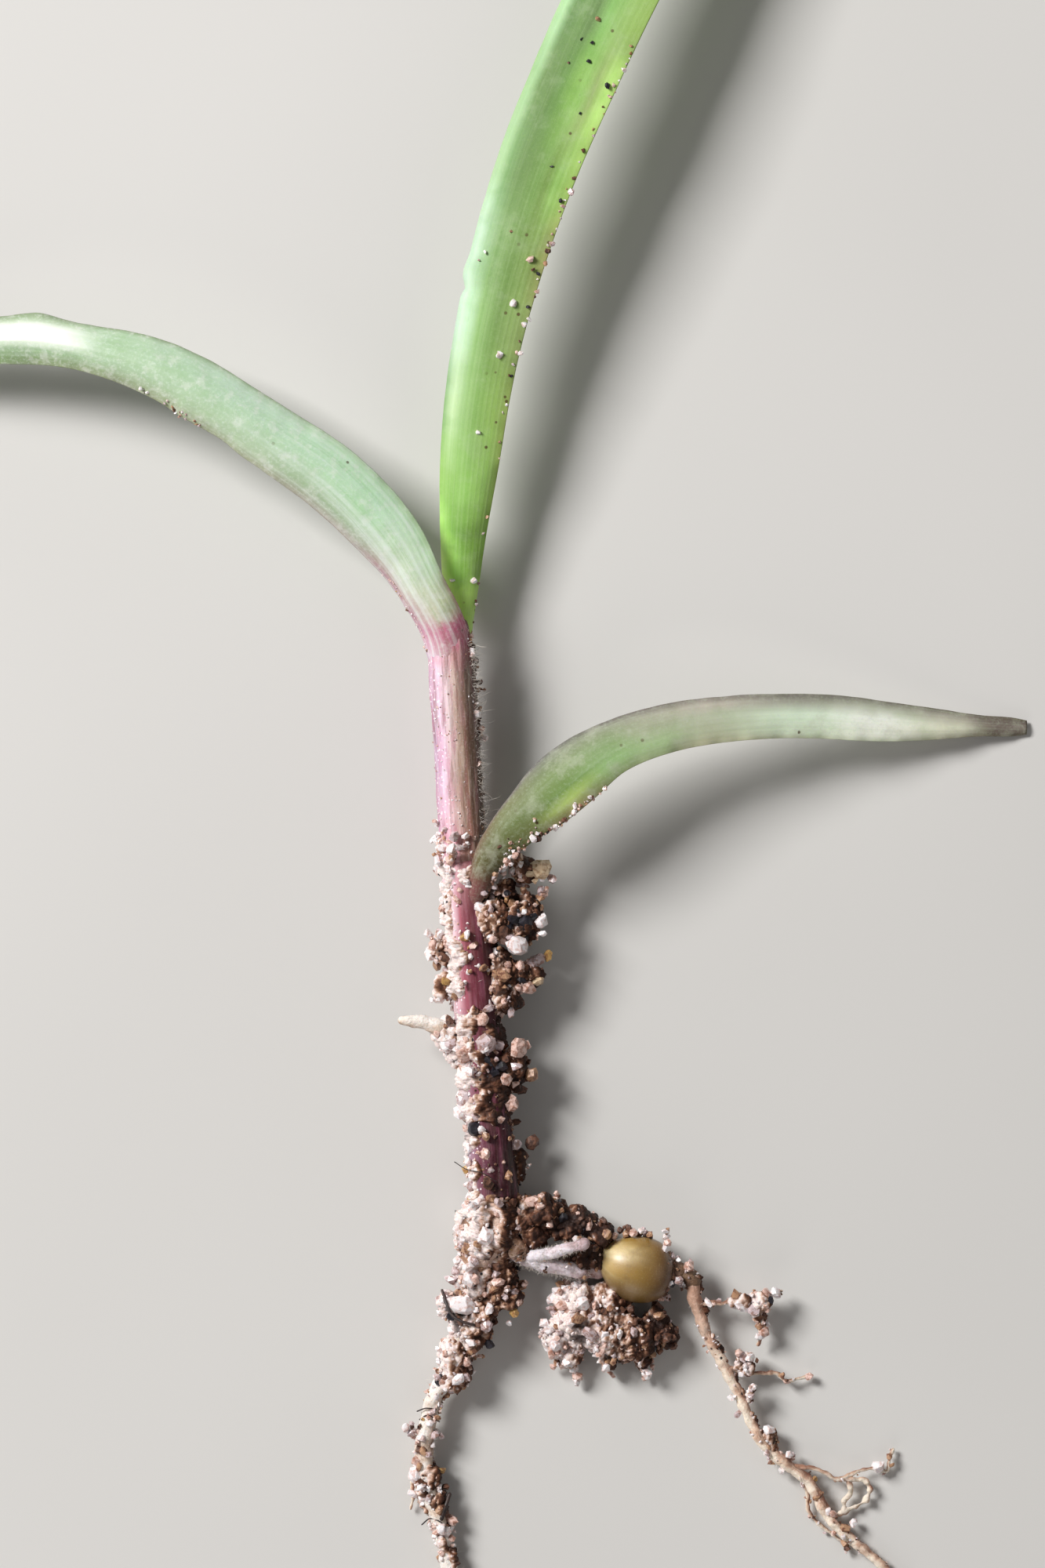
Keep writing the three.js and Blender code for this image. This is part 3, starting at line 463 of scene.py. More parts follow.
def joined(parts):
    """Several meshes of points, faces and values as one."""
    points, faces, values, start = [], [], {}, 0
    for part_points, part_faces, part_values in parts:
        faces += [[int(corner) + start for corner in face] for face in part_faces]
        points.append(part_points)
        start += len(part_points)
        for key, value in part_values.items():
            values.setdefault(key, []).append(np.ravel(value))
    return np.vstack(points), faces, {key: np.concatenate(value) for key, value in values.items()}


def half_thickness(spans):
    """Half of how thick a leaf is, at places across it."""
    return (BLADE["margin"] + (BLADE["middle"] - BLADE["margin"]) * (1 - spans**2)) / 2


def blade(leaf, veins, vein_height):
    """A leaf's skin: thin, with lengthwise veins on both faces and rounded margins."""
    rows, columns = 320, 49
    shares = np.linspace(0, 1, rows)
    spans = np.sin(np.linspace(-1, 1, columns) * math.pi / 2) * 0.4 + np.linspace(-1, 1, columns) * 0.6
    points, out = leaf.surface(shares, spans)
    rib = np.cos(np.pi * veins * spans) * (1 - spans**4)
    lift = vein_height * rib[None, :] * fade(shares, 0, 0.05)[:, None]
    lift = lift * (1 - 0.5 * fade(shares, 0.6, 1))[:, None]
    half = half_thickness(spans)[None, :] * (1 - 0.6 * fade(shares, 0.75, 1))[:, None]
    rough = 0.01 * unevenness(points, 0.5)
    upper = points + out * (half + lift + rough)[..., None]
    under = points - out * (half + 0.6 * lift - rough)[..., None]
    rings = np.concatenate([under, upper[:, ::-1]], axis=1)
    s = np.repeat(shares[:, None], 2 * columns, axis=1)
    u = np.repeat(np.concatenate([spans, spans[::-1]])[None], rows, axis=0)
    return rings.reshape(-1, 3), closed_faces(rows, 2 * columns), {"along": s, "across": u}


# Materials


class Look:
    """A material that is built node by node."""

    def __init__(self, name, **inputs):
        self.material = bpy.data.materials.new(name)
        self.material.use_nodes = True
        self.tree = self.material.node_tree
        self.shader = self.tree.nodes["Principled BSDF"]
        for key, value in inputs.items():
            self.shader.inputs[key.replace("_", " ")].default_value = value
        self.place = self.node("TexCoord").outputs["Object"]

    def put(self, socket, value):
        if isinstance(value, bpy.types.NodeSocket):
            self.tree.links.new(value, socket)
        elif isinstance(value, tuple) and len(value) == 3 and socket.type == "RGBA":
            socket.default_value = (*value, 1)
        else:
            socket.default_value = value

    def node(self, kind, inputs=None, **settings):
        made = self.tree.nodes.new("ShaderNode" + kind)
        for key, value in settings.items():
            setattr(made, key, value)
        for key, value in (inputs or {}).items():
            self.put(made.inputs[key], value)
        return made

    def value(self, name):
        return self.node("Attribute", attribute_name=name).outputs["Fac"]

    def noise(self, size, detail=3.0, roughness=0.55, vector=None):
        """Noise from 0 to 1 with bumps of that size in millimetres."""
        inputs = {"Vector": vector or self.place, "Detail": detail, "Roughness": roughness}
        inputs["Scale"] = 1 / size if vector else 1 / (size * MM)
        return self.node("TexNoise", inputs).outputs["Fac"]

    def maths(self, operation, first, second, third=0.0):
        made = self.node("Math", operation=operation)
        for i, value in enumerate((first, second, third)):
            self.put(made.inputs[i], value)
        return made.outputs[0]

    def map(self, value, start, end, low=0.0, high=1.0):
        inputs = {"Value": value, "From Min": start, "From Max": end, "To Min": low, "To Max": high}
        return self.node("MapRange", inputs, interpolation_type="SMOOTHSTEP").outputs["Result"]

    def ramp(self, value, *stops):
        made = self.node("ValToRGB", {"Fac": value})
        points = made.color_ramp.elements
        while len(points) < len(stops):
            points.new(0.5)
        for point, (at, colour) in zip(points, stops):
            point.position = at
            point.color = (*colour, 1)
        return made.outputs["Color"]

    def mix(self, share, first, second, blend="MIX"):
        made = self.node("Mix", data_type="RGBA", blend_type=blend)
        for i, value in ((0, share), (6, first), (7, second)):
            self.put(made.inputs[i], value)
        return made.outputs[2]

    def bands(self, along, across, stations):
        """Colours across a piece, from stations of (share of the length, (-1 to 1 across, *colour), ...)."""
        side = self.maths("MULTIPLY_ADD", across, 0.5, 0.5)
        colour = None
        for i, (at, *stops) in enumerate(stations):
            here = self.ramp(side, *[((u + 1) / 2, shade) for u, *shade in stops])
            colour = here if i == 0 else self.mix(self.map(along, stations[i - 1][0], at), colour, here)
        return colour

    def specks(self, cell, size, share):
        """Round spots from 0 to 1, one in some of the cells."""
        spots = self.node("TexVoronoi", {"Vector": self.place, "Scale": 1 / (cell * MM)})
        near = self.map(spots.outputs["Distance"], size, 0.5 * size)
        chosen = self.node("SeparateColor", {"Color": spots.outputs["Color"]}).outputs[0]
        return self.maths("MULTIPLY", near, self.maths("LESS_THAN", chosen, share))

    def streaks(self, around, along, fineness, stretch):
        """Lengthwise streaks, from the values round a piece and along it."""
        vector = self.node("CombineXYZ", {
            "X": self.maths("MULTIPLY", around, fineness), "Y": self.maths("MULTIPLY", along, stretch)})
        return self.noise(1, 3, 0.6, vector.outputs[0])

    def finish(self, colour, bump, bump_height, roughness):
        """bump_height is in millimetres."""
        self.put(self.shader.inputs["Base Color"], colour)
        if bump is not None:
            made = self.node("Bump", {"Height": bump, "Strength": 1.0, "Distance": bump_height * MM})
            self.put(self.shader.inputs["Normal"], made.outputs[0])
        self.put(self.shader.inputs["Roughness"], roughness)
        return self.material


def leaf_look(name, stations, pale, streaks, frost, speck, roughness, shine, blotches):
    """streaks are their fineness, and how strong they are at the base and further out. speck is in how many
    of the cells there is a dark spot, and from where to where across they set in. blotches are their size,
    strength and colour."""
    look = Look(name, Subsurface_Weight=0.12, Subsurface_Scale=0.0003, IOR=1.42,
                Subsurface_Radius=(0.7, 1.0, 0.3), Specular_IOR_Level=shine)
    along = look.maths("MULTIPLY_ADD", look.noise(0.7), 0.03, look.maths("ADD", look.value("along"), -0.015))
    wander = look.maths("MULTIPLY_ADD", look.noise(1.5), 0.16, -0.08)
    across = look.maths("ADD", look.value("across"), wander)
    colour = look.bands(along, across, stations)
    fineness, near_base, further = streaks
    lines = look.streaks(look.value("across"), along, fineness, 2.5)
    strength = look.map(along, 0.12, 0.4, near_base, further)
    colour = look.mix(look.maths("MULTIPLY", look.map(lines, 0.46, 0.66), strength), colour, pale)
    shaded = look.mix(1, colour, (0.6, 0.75, 0.5), "MULTIPLY")
    colour = look.mix(look.maths("MULTIPLY", look.map(lines, 0.47, 0.36), strength), colour, shaded)
    fine = look.noise(0.09, 4, 0.7)
    colour = look.mix(look.map(fine, 0.45, 0.8, 0, frost), colour, pale)
    clouds = look.map(look.noise(1.1, 4, 0.6), 0.5, 0.72, 0, 0.3)
    colour = look.mix(clouds, colour, shaded)
    size, strength, tint = blotches
    colour = look.mix(look.map(look.noise(size, 4, 0.65), 0.5, 0.68, 0, strength), colour, tint)
    spots = look.maths("MULTIPLY", look.specks(0.3, 0.22, speck[0]), look.map(across, speck[1], speck[2]))
    colour = look.mix(look.maths("MULTIPLY", spots, 0.85), colour, (0.09, 0.045, 0.02))
    bump = look.maths("MULTIPLY_ADD", fine, 0.6, look.maths("MULTIPLY", lines, 0.5))
    return look.finish(colour, bump, 0.012, look.map(fine, 0.3, 0.8, roughness - 0.06, roughness + 0.14))


def sheath_look(name, stations, streak, frost, grime, shine):
    """streak, frost and grime are how strong its streaks, pale bloom and dirt are."""
    look = Look(name, Subsurface_Weight=0.15, Subsurface_Scale=0.0003, IOR=1.42, Specular_IOR_Level=shine)
    along, across = look.value("along"), look.value("across")
    colour = look.bands(along, across, stations)
    lines = look.streaks(look.value("around"), along, 40, 7)
    # The pale streaks are whiter towards -1, where the light falls, and tan towards +1: partly the streaks'
    # own colour, partly painted light.
    pale = look.mix(look.map(across, -0.45, 0.25), (0.96, 0.84, 0.92), (0.68, 0.54, 0.46))
    colour = look.mix(look.map(lines, 0.45, 0.68, 0, streak), colour, pale)
    broad = look.streaks(look.value("around"), along, 24, 4)
    colour = look.mix(look.map(broad, 0.47, 0.36, 0, 1.1 * streak), colour, (0.2, 0.075, 0.06))
    rosy = look.maths("MULTIPLY", look.map(look.streaks(look.value("around"), along, 18, 5), 0.48, 0.62),
                      look.map(across, 0.25, -0.35, 0.15, 0.9 * streak))
    colour = look.mix(rosy, colour, (0.55, 0.2, 0.32))
    fine = look.noise(0.06, 4, 0.65)
    colour = look.mix(look.map(fine, 0.5, 0.8, 0, frost), colour, (0.85, 0.68, 0.74))
    # Pale specks, kept to the side towards -1 where the light falls: a painted highlight speckle.
    dots = look.maths("MULTIPLY", look.specks(0.11, 0.36, 0.6), look.map(across, -0.2, -0.7))
    colour = look.mix(dots, colour, (0.95, 0.85, 0.9))
    dirt = look.map(look.noise(0.5, 4), 0.5, 0.72, 0, grime)
    colour = look.mix(dirt, colour, (0.16, 0.1, 0.07))
    bump = look.maths("MULTIPLY_ADD", fine, 0.4, look.maths("MULTIPLY", lines, 1.2))
    return look.finish(colour, bump, 0.03, look.map(fine, 0.3, 0.8, 0.3, 0.5))


def root_look(name, pale, tan, brown, dirty, lopsided=0.0, dull_head=0.0):
    """lopsided is how much paler it is on the side that the light falls on, and dull_head how much
    duller its head is."""
    look = Look(name, Subsurface_Weight=0.2, Subsurface_Scale=0.0003, Subsurface_Radius=(1.0, 0.7, 0.5))
    side = look.maths("MULTIPLY", look.value("across"), lopsided)
    patches = look.maths("ADD", look.noise(0.8, 4, 0.6), side)
    colour = look.ramp(patches, (0.3, brown), (0.42, tan), (0.56, pale))
    lines = look.streaks(look.value("around"), look.value("along"), 20, 30)
    colour = look.mix(look.map(lines, 0.5, 0.75, 0, 0.5), colour, pale)
    head = look.map(look.value("along"), 0.24, 0.02, 0, dull_head)
    colour = look.mix(head, colour, (0.45, 0.22, 0.14))
    fine = look.noise(0.07, 4, 0.7)
    colour = look.mix(look.map(fine, 0.5, 0.75, 0, dirty), colour, brown)
    colour = look.mix(look.specks(0.28, 0.2, 0.22), colour, (0.03, 0.02, 0.018))
    bump = look.maths("MULTIPLY_ADD", lines, 0.8, fine)
    return look.finish(colour, bump, 0.04, look.map(fine, 0.3, 0.8, 0.35, 0.65))


def seed_look():
    look = Look("seed_husk", Subsurface_Weight=0.25, Subsurface_Scale=0.0005, Coat_Weight=0.8,
                Coat_Roughness=0.32, IOR=1.5, Subsurface_Radius=(1.0, 0.7, 0.2))
    along, around = look.value("along"), look.value("around")
    # Pale at the left tip, towards the light, partly painted highlight; darkest at the right end, partly the
    # husk's own brown and partly painted shade.
    colour = look.ramp(along, (0.0, (0.5, 0.34, 0.2)), (0.08, (0.62, 0.45, 0.2)), (0.3, (0.4, 0.25, 0.06)),
                       (0.6, (0.27, 0.155, 0.028)), (0.85, (0.17, 0.08, 0.018)), (1.0, (0.06, 0.025, 0.008)))
    side = look.value("side")
    # A painted highlight band on the side towards +Y, where the light falls.
    highlight_band = look.maths("MULTIPLY", look.map(side, 0.05, 0.4), look.map(side, 0.8, 0.55))
    highlight_band = look.maths("MULTIPLY", highlight_band, look.map(along, 0.8, 0.4, 0, 0.85))
    colour = look.mix(highlight_band, colour, (0.66, 0.5, 0.24))
    lines = look.streaks(around, along, 9, 0.3)
    # Pale rays on the husk's ridges near the left tip: painted highlight.
    highlight_rays = look.maths("MULTIPLY", look.map(lines, 0.42, 0.7), look.map(along, 0.62, 0.1, 0, 0.5))
    colour = look.mix(highlight_rays, colour, (0.82, 0.72, 0.4))
    shade = look.noise(0.6, 3)
    colour = look.mix(look.map(shade, 0.48, 0.7, 0, 0.45), colour, (0.17, 0.09, 0.018))
    # Painted shade on the lower side, towards -Y.
    low = look.maths("MULTIPLY", look.map(side, -0.05, -0.7), look.map(along, 0.75, 0.3, 0.15, 0.8))
    colour = look.mix(low, colour, (0.1, 0.05, 0.016))
    spots = look.maths("MULTIPLY", look.specks(0.22, 0.2, 0.3), look.map(along, 0.5, 0.9))
    colour = look.mix(spots, colour, (0.03, 0.012, 0.006))
    grit = look.noise(0.05, 4, 0.7)
    colour = look.mix(look.map(grit, 0.52, 0.75, 0, 0.35), colour, (0.5, 0.42, 0.2))
    return look.finish(colour, grit, 0.012, look.map(shade, 0.3, 0.7, 0.38, 0.5))


def grain_look(name, colour, stain, gloss, coat):
    look = Look(name, Subsurface_Weight=0.3, Subsurface_Scale=0.00015, Coat_Weight=coat, Coat_Roughness=0.1,
                IOR=1.5, Subsurface_Radius=(1.0, 0.75, 0.65))
    marks = look.noise(0.13, 3, 0.6)
    shade = look.mix(look.map(marks, 0.46, 0.62), colour, stain)
    return look.finish(shade, look.noise(0.04, 2), 0.01, look.map(marks, 0.3, 0.7, gloss, gloss + 0.2))


def crust_look():
    """Grains half sunk in damp soil: paler where the light falls, on the side towards -X."""
    look = Look("sandy_crust", Coat_Weight=0.05, Coat_Roughness=0.3, Specular_IOR_Level=0.25,
                Subsurface_Weight=0.1, Subsurface_Scale=0.0002)
    facing = look.node("SeparateXYZ", {"Vector": look.node("TexCoord").outputs["Normal"]}).outputs["X"]
    tone = look.maths("MULTIPLY_ADD", look.noise(0.5, 4, 0.65), 1.1,
                      look.maths("MULTIPLY_ADD", look.value("number"), 0.4, -0.03))
    # Paler where the stored paleness is high: the sand's own tone, and painted light where that rises towards
    # -X.
    tone = look.maths("MULTIPLY_ADD", look.value("lit"), 0.5, tone)
    tone = look.maths("MULTIPLY_ADD", facing, -0.35, tone)
    colour = look.ramp(look.map(tone, 0.25, 1.45), (0.1, (0.035, 0.013, 0.008)), (0.36, (0.13, 0.05, 0.026)),
                       (0.54, (0.32, 0.165, 0.1)), (0.7, (0.64, 0.44, 0.35)), (0.88, (0.94, 0.8, 0.77)))
    grit = look.noise(0.06, 4, 0.7)
    colour = look.mix(look.map(grit, 0.5, 0.7, 0, 0.4), colour, (0.14, 0.06, 0.035))
    # Pale grain specks only where the crust is paler, so mostly on the lit side: partly pale grains, partly
    # painted highlight.
    bright = look.maths("MULTIPLY", look.specks(0.17, 0.42, 0.4), look.map(tone, 0.7, 1.05))
    colour = look.mix(bright, colour, (0.94, 0.87, 0.88))
    # Near black in the seams between pebbles and in the hollows: partly the dark soil between grains, partly
    # painted shade in the crevices.
    dark = look.maths("MAXIMUM", look.map(look.value("seam"), 0.4, 0.1, 0, 0.35), look.value("hollow"))
    colour = look.mix(look.maths("MULTIPLY", dark, 0.88), colour, (0.022, 0.01, 0.008))
    colour = look.mix(look.specks(0.24, 0.24, 0.16), colour, (0.012, 0.01, 0.013))
    facets = look.node("TexVoronoi", {"Vector": look.place, "Scale": 1 / (0.13 * MM)}).outputs["Distance"]
    bump = look.maths("MULTIPLY_ADD", facets, -1.2, grit)
    return look.finish(colour, bump, 0.025, look.map(grit, 0.3, 0.7, 0.45, 0.75))


def plain_look(name, first, second, size, roughness):
    look = Look(name)
    blend = look.noise(size, 4, 0.65)
    colour = look.mix(look.map(blend, 0.35, 0.7), first, second)
    return look.finish(colour, blend, 0.02, look.map(blend, 0.3, 0.7, roughness, roughness + 0.15))


LEAF_COLOURS = {  # a share of the leaf's length, then places across it, from -1 to 1, each with its colour
    "first_leaf": [
        (0.03, (-1, 0.22, 0.07, 0.08), (0, 0.2, 0.07, 0.07), (1, 0.1, 0.04, 0.03)),
        (0.09, (-1, 0.2, 0.12, 0.09), (-0.3, 0.11, 0.1, 0.035), (1, 0.06, 0.05, 0.02)),
        (0.16, (-1, 0.17, 0.13, 0.14), (-0.8, 0.2, 0.21, 0.11), (0, 0.12, 0.16, 0.045),
               (1, 0.13, 0.13, 0.05)),
        # At 0.25 the pale line at 0.55 across is a painted highlight.
        (0.25, (-1, 0.12, 0.1, 0.12), (-0.85, 0.19, 0.2, 0.15), (-0.3, 0.17, 0.24, 0.08),
               (0.25, 0.15, 0.25, 0.06), (0.55, 0.42, 0.55, 0.16), (0.8, 0.3, 0.3, 0.12),
               (1, 0.24, 0.17, 0.1)),
        (0.33, (-1, 0.14, 0.12, 0.12), (-0.75, 0.26, 0.28, 0.2), (-0.3, 0.21, 0.29, 0.13),
               (0.5, 0.28, 0.45, 0.18), (1, 0.22, 0.27, 0.12)),
        (0.41, (-1, 0.16, 0.13, 0.13), (-0.6, 0.38, 0.38, 0.3), (-0.1, 0.34, 0.38, 0.25),
               (0.5, 0.38, 0.52, 0.27), (1, 0.36, 0.42, 0.24)),
        (0.49, (-1, 0.2, 0.17, 0.16), (-0.6, 0.48, 0.44, 0.38), (-0.1, 0.46, 0.5, 0.37),
               (0.5, 0.48, 0.52, 0.36), (1, 0.5, 0.48, 0.33)),
        # From 0.64 to 0.76 the pale middle is partly a whitish bloom and partly a painted highlight.
        (0.64, (-1, 0.15, 0.13, 0.12), (-0.5, 0.34, 0.34, 0.28), (0, 0.72, 0.86, 0.68),
               (0.75, 0.7, 0.82, 0.63), (1, 0.52, 0.54, 0.4)),
        (0.76, (-1, 0.13, 0.11, 0.1), (-0.55, 0.44, 0.46, 0.37), (0, 0.95, 1, 0.9), (0.75, 0.95, 1, 0.86),
               (1, 0.62, 0.68, 0.52)),
        (0.88, (-1, 0.14, 0.12, 0.1), (-0.3, 0.5, 0.48, 0.4), (0.3, 0.8, 0.82, 0.64),
               (1, 0.3, 0.28, 0.22)),
        (0.95, (-1, 0.11, 0.08, 0.075), (0, 0.2, 0.16, 0.14), (1, 0.14, 0.11, 0.09)),
    ],
    "second_leaf": [
        (0.02, (-1, 0.5, 0.34, 0.47), (-0.6, 0.76, 0.56, 0.7), (-0.25, 0.68, 0.5, 0.54),
               (0.0, 0.5, 0.34, 0.3), (0.4, 0.3, 0.18, 0.14), (1, 0.16, 0.1, 0.08)),
        (0.036, (-1, 0.58, 0.34, 0.46), (-0.5, 0.64, 0.36, 0.46), (0, 0.56, 0.26, 0.32),
                (0.6, 0.5, 0.17, 0.22), (1, 0.3, 0.08, 0.12)),
        (0.05, (-1, 0.56, 0.26, 0.38), (-0.4, 0.62, 0.28, 0.38), (0.2, 0.64, 0.2, 0.31),
               (0.8, 0.58, 0.13, 0.24), (1, 0.4, 0.08, 0.16)),
        # From 0.072 to 0.2 the side towards +1 is made paler where the blade curls away from the light, and
        # at 0.072 the side towards -1 darker where the light is strong: painted light and painted shade over
        # the blade's own pink and green.
        (0.072, (-1, 0.46, 0.18, 0.27), (-0.6, 0.5, 0.28, 0.32), (0, 0.66, 0.64, 0.53),
                (0.5, 0.62, 0.68, 0.46), (0.8, 0.62, 0.66, 0.42), (1, 0.5, 0.2, 0.24)),
        (0.12, (-1, 0.46, 0.22, 0.29), (-0.75, 0.5, 0.33, 0.35), (-0.3, 0.6, 0.66, 0.54),
               (0.3, 0.6, 0.74, 0.56), (0.8, 0.66, 0.9, 0.62), (1, 0.6, 0.8, 0.5)),
        (0.2, (-1, 0.4, 0.32, 0.28), (-0.65, 0.42, 0.5, 0.37), (0, 0.48, 0.7, 0.47),
              (0.4, 0.52, 0.76, 0.53), (0.75, 0.58, 0.84, 0.58), (1, 0.52, 0.7, 0.47)),
        (0.36, (-1, 0.36, 0.38, 0.25), (-0.6, 0.44, 0.57, 0.38), (0.1, 0.43, 0.61, 0.42),
               (0.6, 0.53, 0.71, 0.55), (0.85, 0.47, 0.63, 0.46), (1, 0.3, 0.38, 0.23)),
        (0.5, (-1, 0.3, 0.34, 0.2), (-0.4, 0.39, 0.54, 0.35), (0.4, 0.41, 0.57, 0.38),
              (0.75, 0.42, 0.58, 0.39), (1, 0.24, 0.32, 0.18)),
        # At 0.56 and 0.6 the white patch is a painted highlight.
        (0.56, (-1, 0.26, 0.32, 0.17), (-0.45, 0.3, 0.44, 0.25), (-0.1, 0.9, 0.95, 0.88),
               (0.3, 0.9, 0.95, 0.88), (0.7, 0.38, 0.5, 0.32), (1, 0.2, 0.26, 0.15)),
        (0.6, (-1, 0.24, 0.32, 0.16), (-0.45, 0.27, 0.4, 0.22), (-0.1, 0.9, 0.95, 0.88),
              (0.3, 0.9, 0.95, 0.88), (0.7, 0.32, 0.42, 0.26), (1, 0.2, 0.26, 0.15)),
        (0.67, (-1, 0.24, 0.32, 0.16), (0, 0.28, 0.42, 0.22), (1, 0.2, 0.28, 0.14)),
        (1.0, (-1, 0.26, 0.32, 0.14), (0, 0.3, 0.4, 0.2), (1, 0.22, 0.28, 0.13)),
    ],
    "third_leaf": [
        # From 0.045 to 0.09 the foot, most of all towards -1, is made bright as painted light, to cancel the
        # shadow that the second leaf casts on it.
        (0.045, (-1, 0.8, 1, 0.36), (0, 0.62, 1, 0.22), (1, 0.46, 0.7, 0.18)),
        (0.065, (-1, 0.74, 1, 0.32), (-0.6, 0.56, 0.92, 0.2), (-0.25, 0.42, 0.8, 0.15),
                (0, 0.28, 0.54, 0.1), (1, 0.24, 0.42, 0.07)),
        (0.09, (-1, 0.46, 0.8, 0.2), (-0.75, 0.33, 0.62, 0.13), (-0.45, 0.2, 0.4, 0.075),
               (0, 0.18, 0.35, 0.065), (1, 0.23, 0.4, 0.075)),
        (0.12, (-1, 0.3, 0.52, 0.14), (-0.5, 0.28, 0.5, 0.13), (0, 0.29, 0.54, 0.13),
               (0.6, 0.33, 0.57, 0.14), (1, 0.36, 0.5, 0.13)),
        # From 0.175 to 0.45 the pale band along the margin at -1 is partly painted highlight, where the blade
        # curls towards the light.
        (0.175, (-1, 0.2, 0.36, 0.15), (-0.68, 0.54, 0.72, 0.42), (-0.4, 0.34, 0.54, 0.22),
                (0, 0.26, 0.46, 0.13), (0.6, 0.3, 0.48, 0.12), (1, 0.34, 0.44, 0.13)),
        (0.23, (-1, 0.44, 0.6, 0.46), (-0.85, 0.58, 0.8, 0.6), (-0.55, 0.46, 0.67, 0.43),
               (-0.3, 0.29, 0.49, 0.18), (0.15, 0.2, 0.34, 0.1), (0.6, 0.27, 0.4, 0.13),
               (1, 0.28, 0.36, 0.13)),
        (0.285, (-1, 0.46, 0.64, 0.48), (-0.85, 0.53, 0.71, 0.55), (-0.62, 0.34, 0.52, 0.3),
                (-0.3, 0.2, 0.35, 0.12), (0.2, 0.2, 0.33, 0.1), (0.65, 0.22, 0.33, 0.09),
                (1, 0.4, 0.42, 0.16)),
        (0.34, (-1, 0.34, 0.52, 0.29), (-0.84, 0.36, 0.55, 0.29), (-0.6, 0.17, 0.32, 0.11),
               (-0.35, 0.125, 0.23, 0.065), (-0.1, 0.13, 0.24, 0.06), (0.2, 0.2, 0.35, 0.1),
               (0.4, 0.18, 0.3, 0.07), (0.6, 0.29, 0.5, 0.13), (1, 0.38, 0.57, 0.15)),
        (0.4, (-1, 0.3, 0.48, 0.24), (-0.84, 0.33, 0.52, 0.27), (-0.6, 0.13, 0.23, 0.07),
              (-0.35, 0.11, 0.21, 0.05), (-0.12, 0.125, 0.26, 0.055), (0.15, 0.23, 0.43, 0.095),
              (0.35, 0.3, 0.52, 0.14), (0.58, 0.3, 0.4, 0.14), (0.82, 0.48, 0.76, 0.21),
              (1, 0.44, 0.66, 0.19)),
        (0.45, (-1, 0.38, 0.58, 0.32), (-0.86, 0.4, 0.62, 0.34), (-0.63, 0.09, 0.2, 0.045),
               (-0.35, 0.13, 0.25, 0.065), (-0.12, 0.125, 0.22, 0.07), (0.15, 0.24, 0.47, 0.13),
               (0.5, 0.29, 0.47, 0.14), (0.7, 0.3, 0.47, 0.13), (1, 0.27, 0.41, 0.1)),
        (1.0, (-1, 0.34, 0.5, 0.18), (0, 0.18, 0.32, 0.07), (1, 0.3, 0.44, 0.1)),
    ],
}
# Across the sheaths, the pale side towards -1, where the light falls, and the dark side towards +1 are
# painted light and painted shade over their own pink, magenta and brown.
SHEATH_COLOURS = {  # the same for the sheaths
    "lower_sheath": [
        (0.05, (-1, 0.42, 0.28, 0.36), (-0.5, 0.16, 0.05, 0.075), (0.1, 0.045, 0.01, 0.014),
               (1, 0.02, 0.005, 0.007)),
        (0.45, (-1, 0.5, 0.34, 0.4), (-0.4, 0.26, 0.08, 0.12), (0.1, 0.11, 0.02, 0.032),
               (1, 0.035, 0.008, 0.012)),
        (0.65, (-1, 0.8, 0.62, 0.66), (-0.75, 0.8, 0.5, 0.56), (-0.45, 0.4, 0.11, 0.15),
               (0, 0.15, 0.03, 0.045), (1, 0.04, 0.01, 0.014)),
        (0.84, (-1, 0.8, 0.62, 0.66), (-0.65, 0.82, 0.6, 0.66), (-0.35, 0.4, 0.12, 0.16),
               (0.05, 0.15, 0.035, 0.045), (1, 0.04, 0.012, 0.015)),
        (1.0, (-1, 0.8, 0.56, 0.62), (-0.5, 0.82, 0.5, 0.56), (0, 0.46, 0.2, 0.22),
              (1, 0.12, 0.05, 0.05)),
    ],
    "upper_sheath": [
        (0.0, (-1, 0.7, 0.42, 0.52), (-0.6, 0.9, 0.5, 0.56), (-0.15, 0.6, 0.32, 0.3),
              (0.3, 0.36, 0.18, 0.13), (1, 0.1, 0.05, 0.03)),
        (0.45, (-1, 0.46, 0.28, 0.42), (-0.6, 0.78, 0.56, 0.72), (-0.25, 0.68, 0.5, 0.49),
               (0.08, 0.46, 0.32, 0.25), (0.4, 0.22, 0.13, 0.085), (1, 0.09, 0.055, 0.035)),
        (0.8, (-1, 0.54, 0.34, 0.48), (-0.6, 0.82, 0.58, 0.7), (-0.25, 0.74, 0.58, 0.6),
              (0.0, 0.52, 0.38, 0.33), (0.4, 0.24, 0.15, 0.11), (1, 0.1, 0.07, 0.05)),
        (0.88, (-1, 0.56, 0.34, 0.44), (-0.5, 0.76, 0.5, 0.58), (0, 0.54, 0.3, 0.3),
               (0.6, 0.3, 0.13, 0.13), (1, 0.16, 0.07, 0.06)),
        (0.94, (-1, 0.5, 0.24, 0.34), (0, 0.56, 0.2, 0.28), (0.6, 0.42, 0.1, 0.16), (1, 0.2, 0.05, 0.08)),
        (1.0, (-1, 0.4, 0.14, 0.2), (0, 0.4, 0.12, 0.18), (1, 0.2, 0.07, 0.09)),
    ],
}
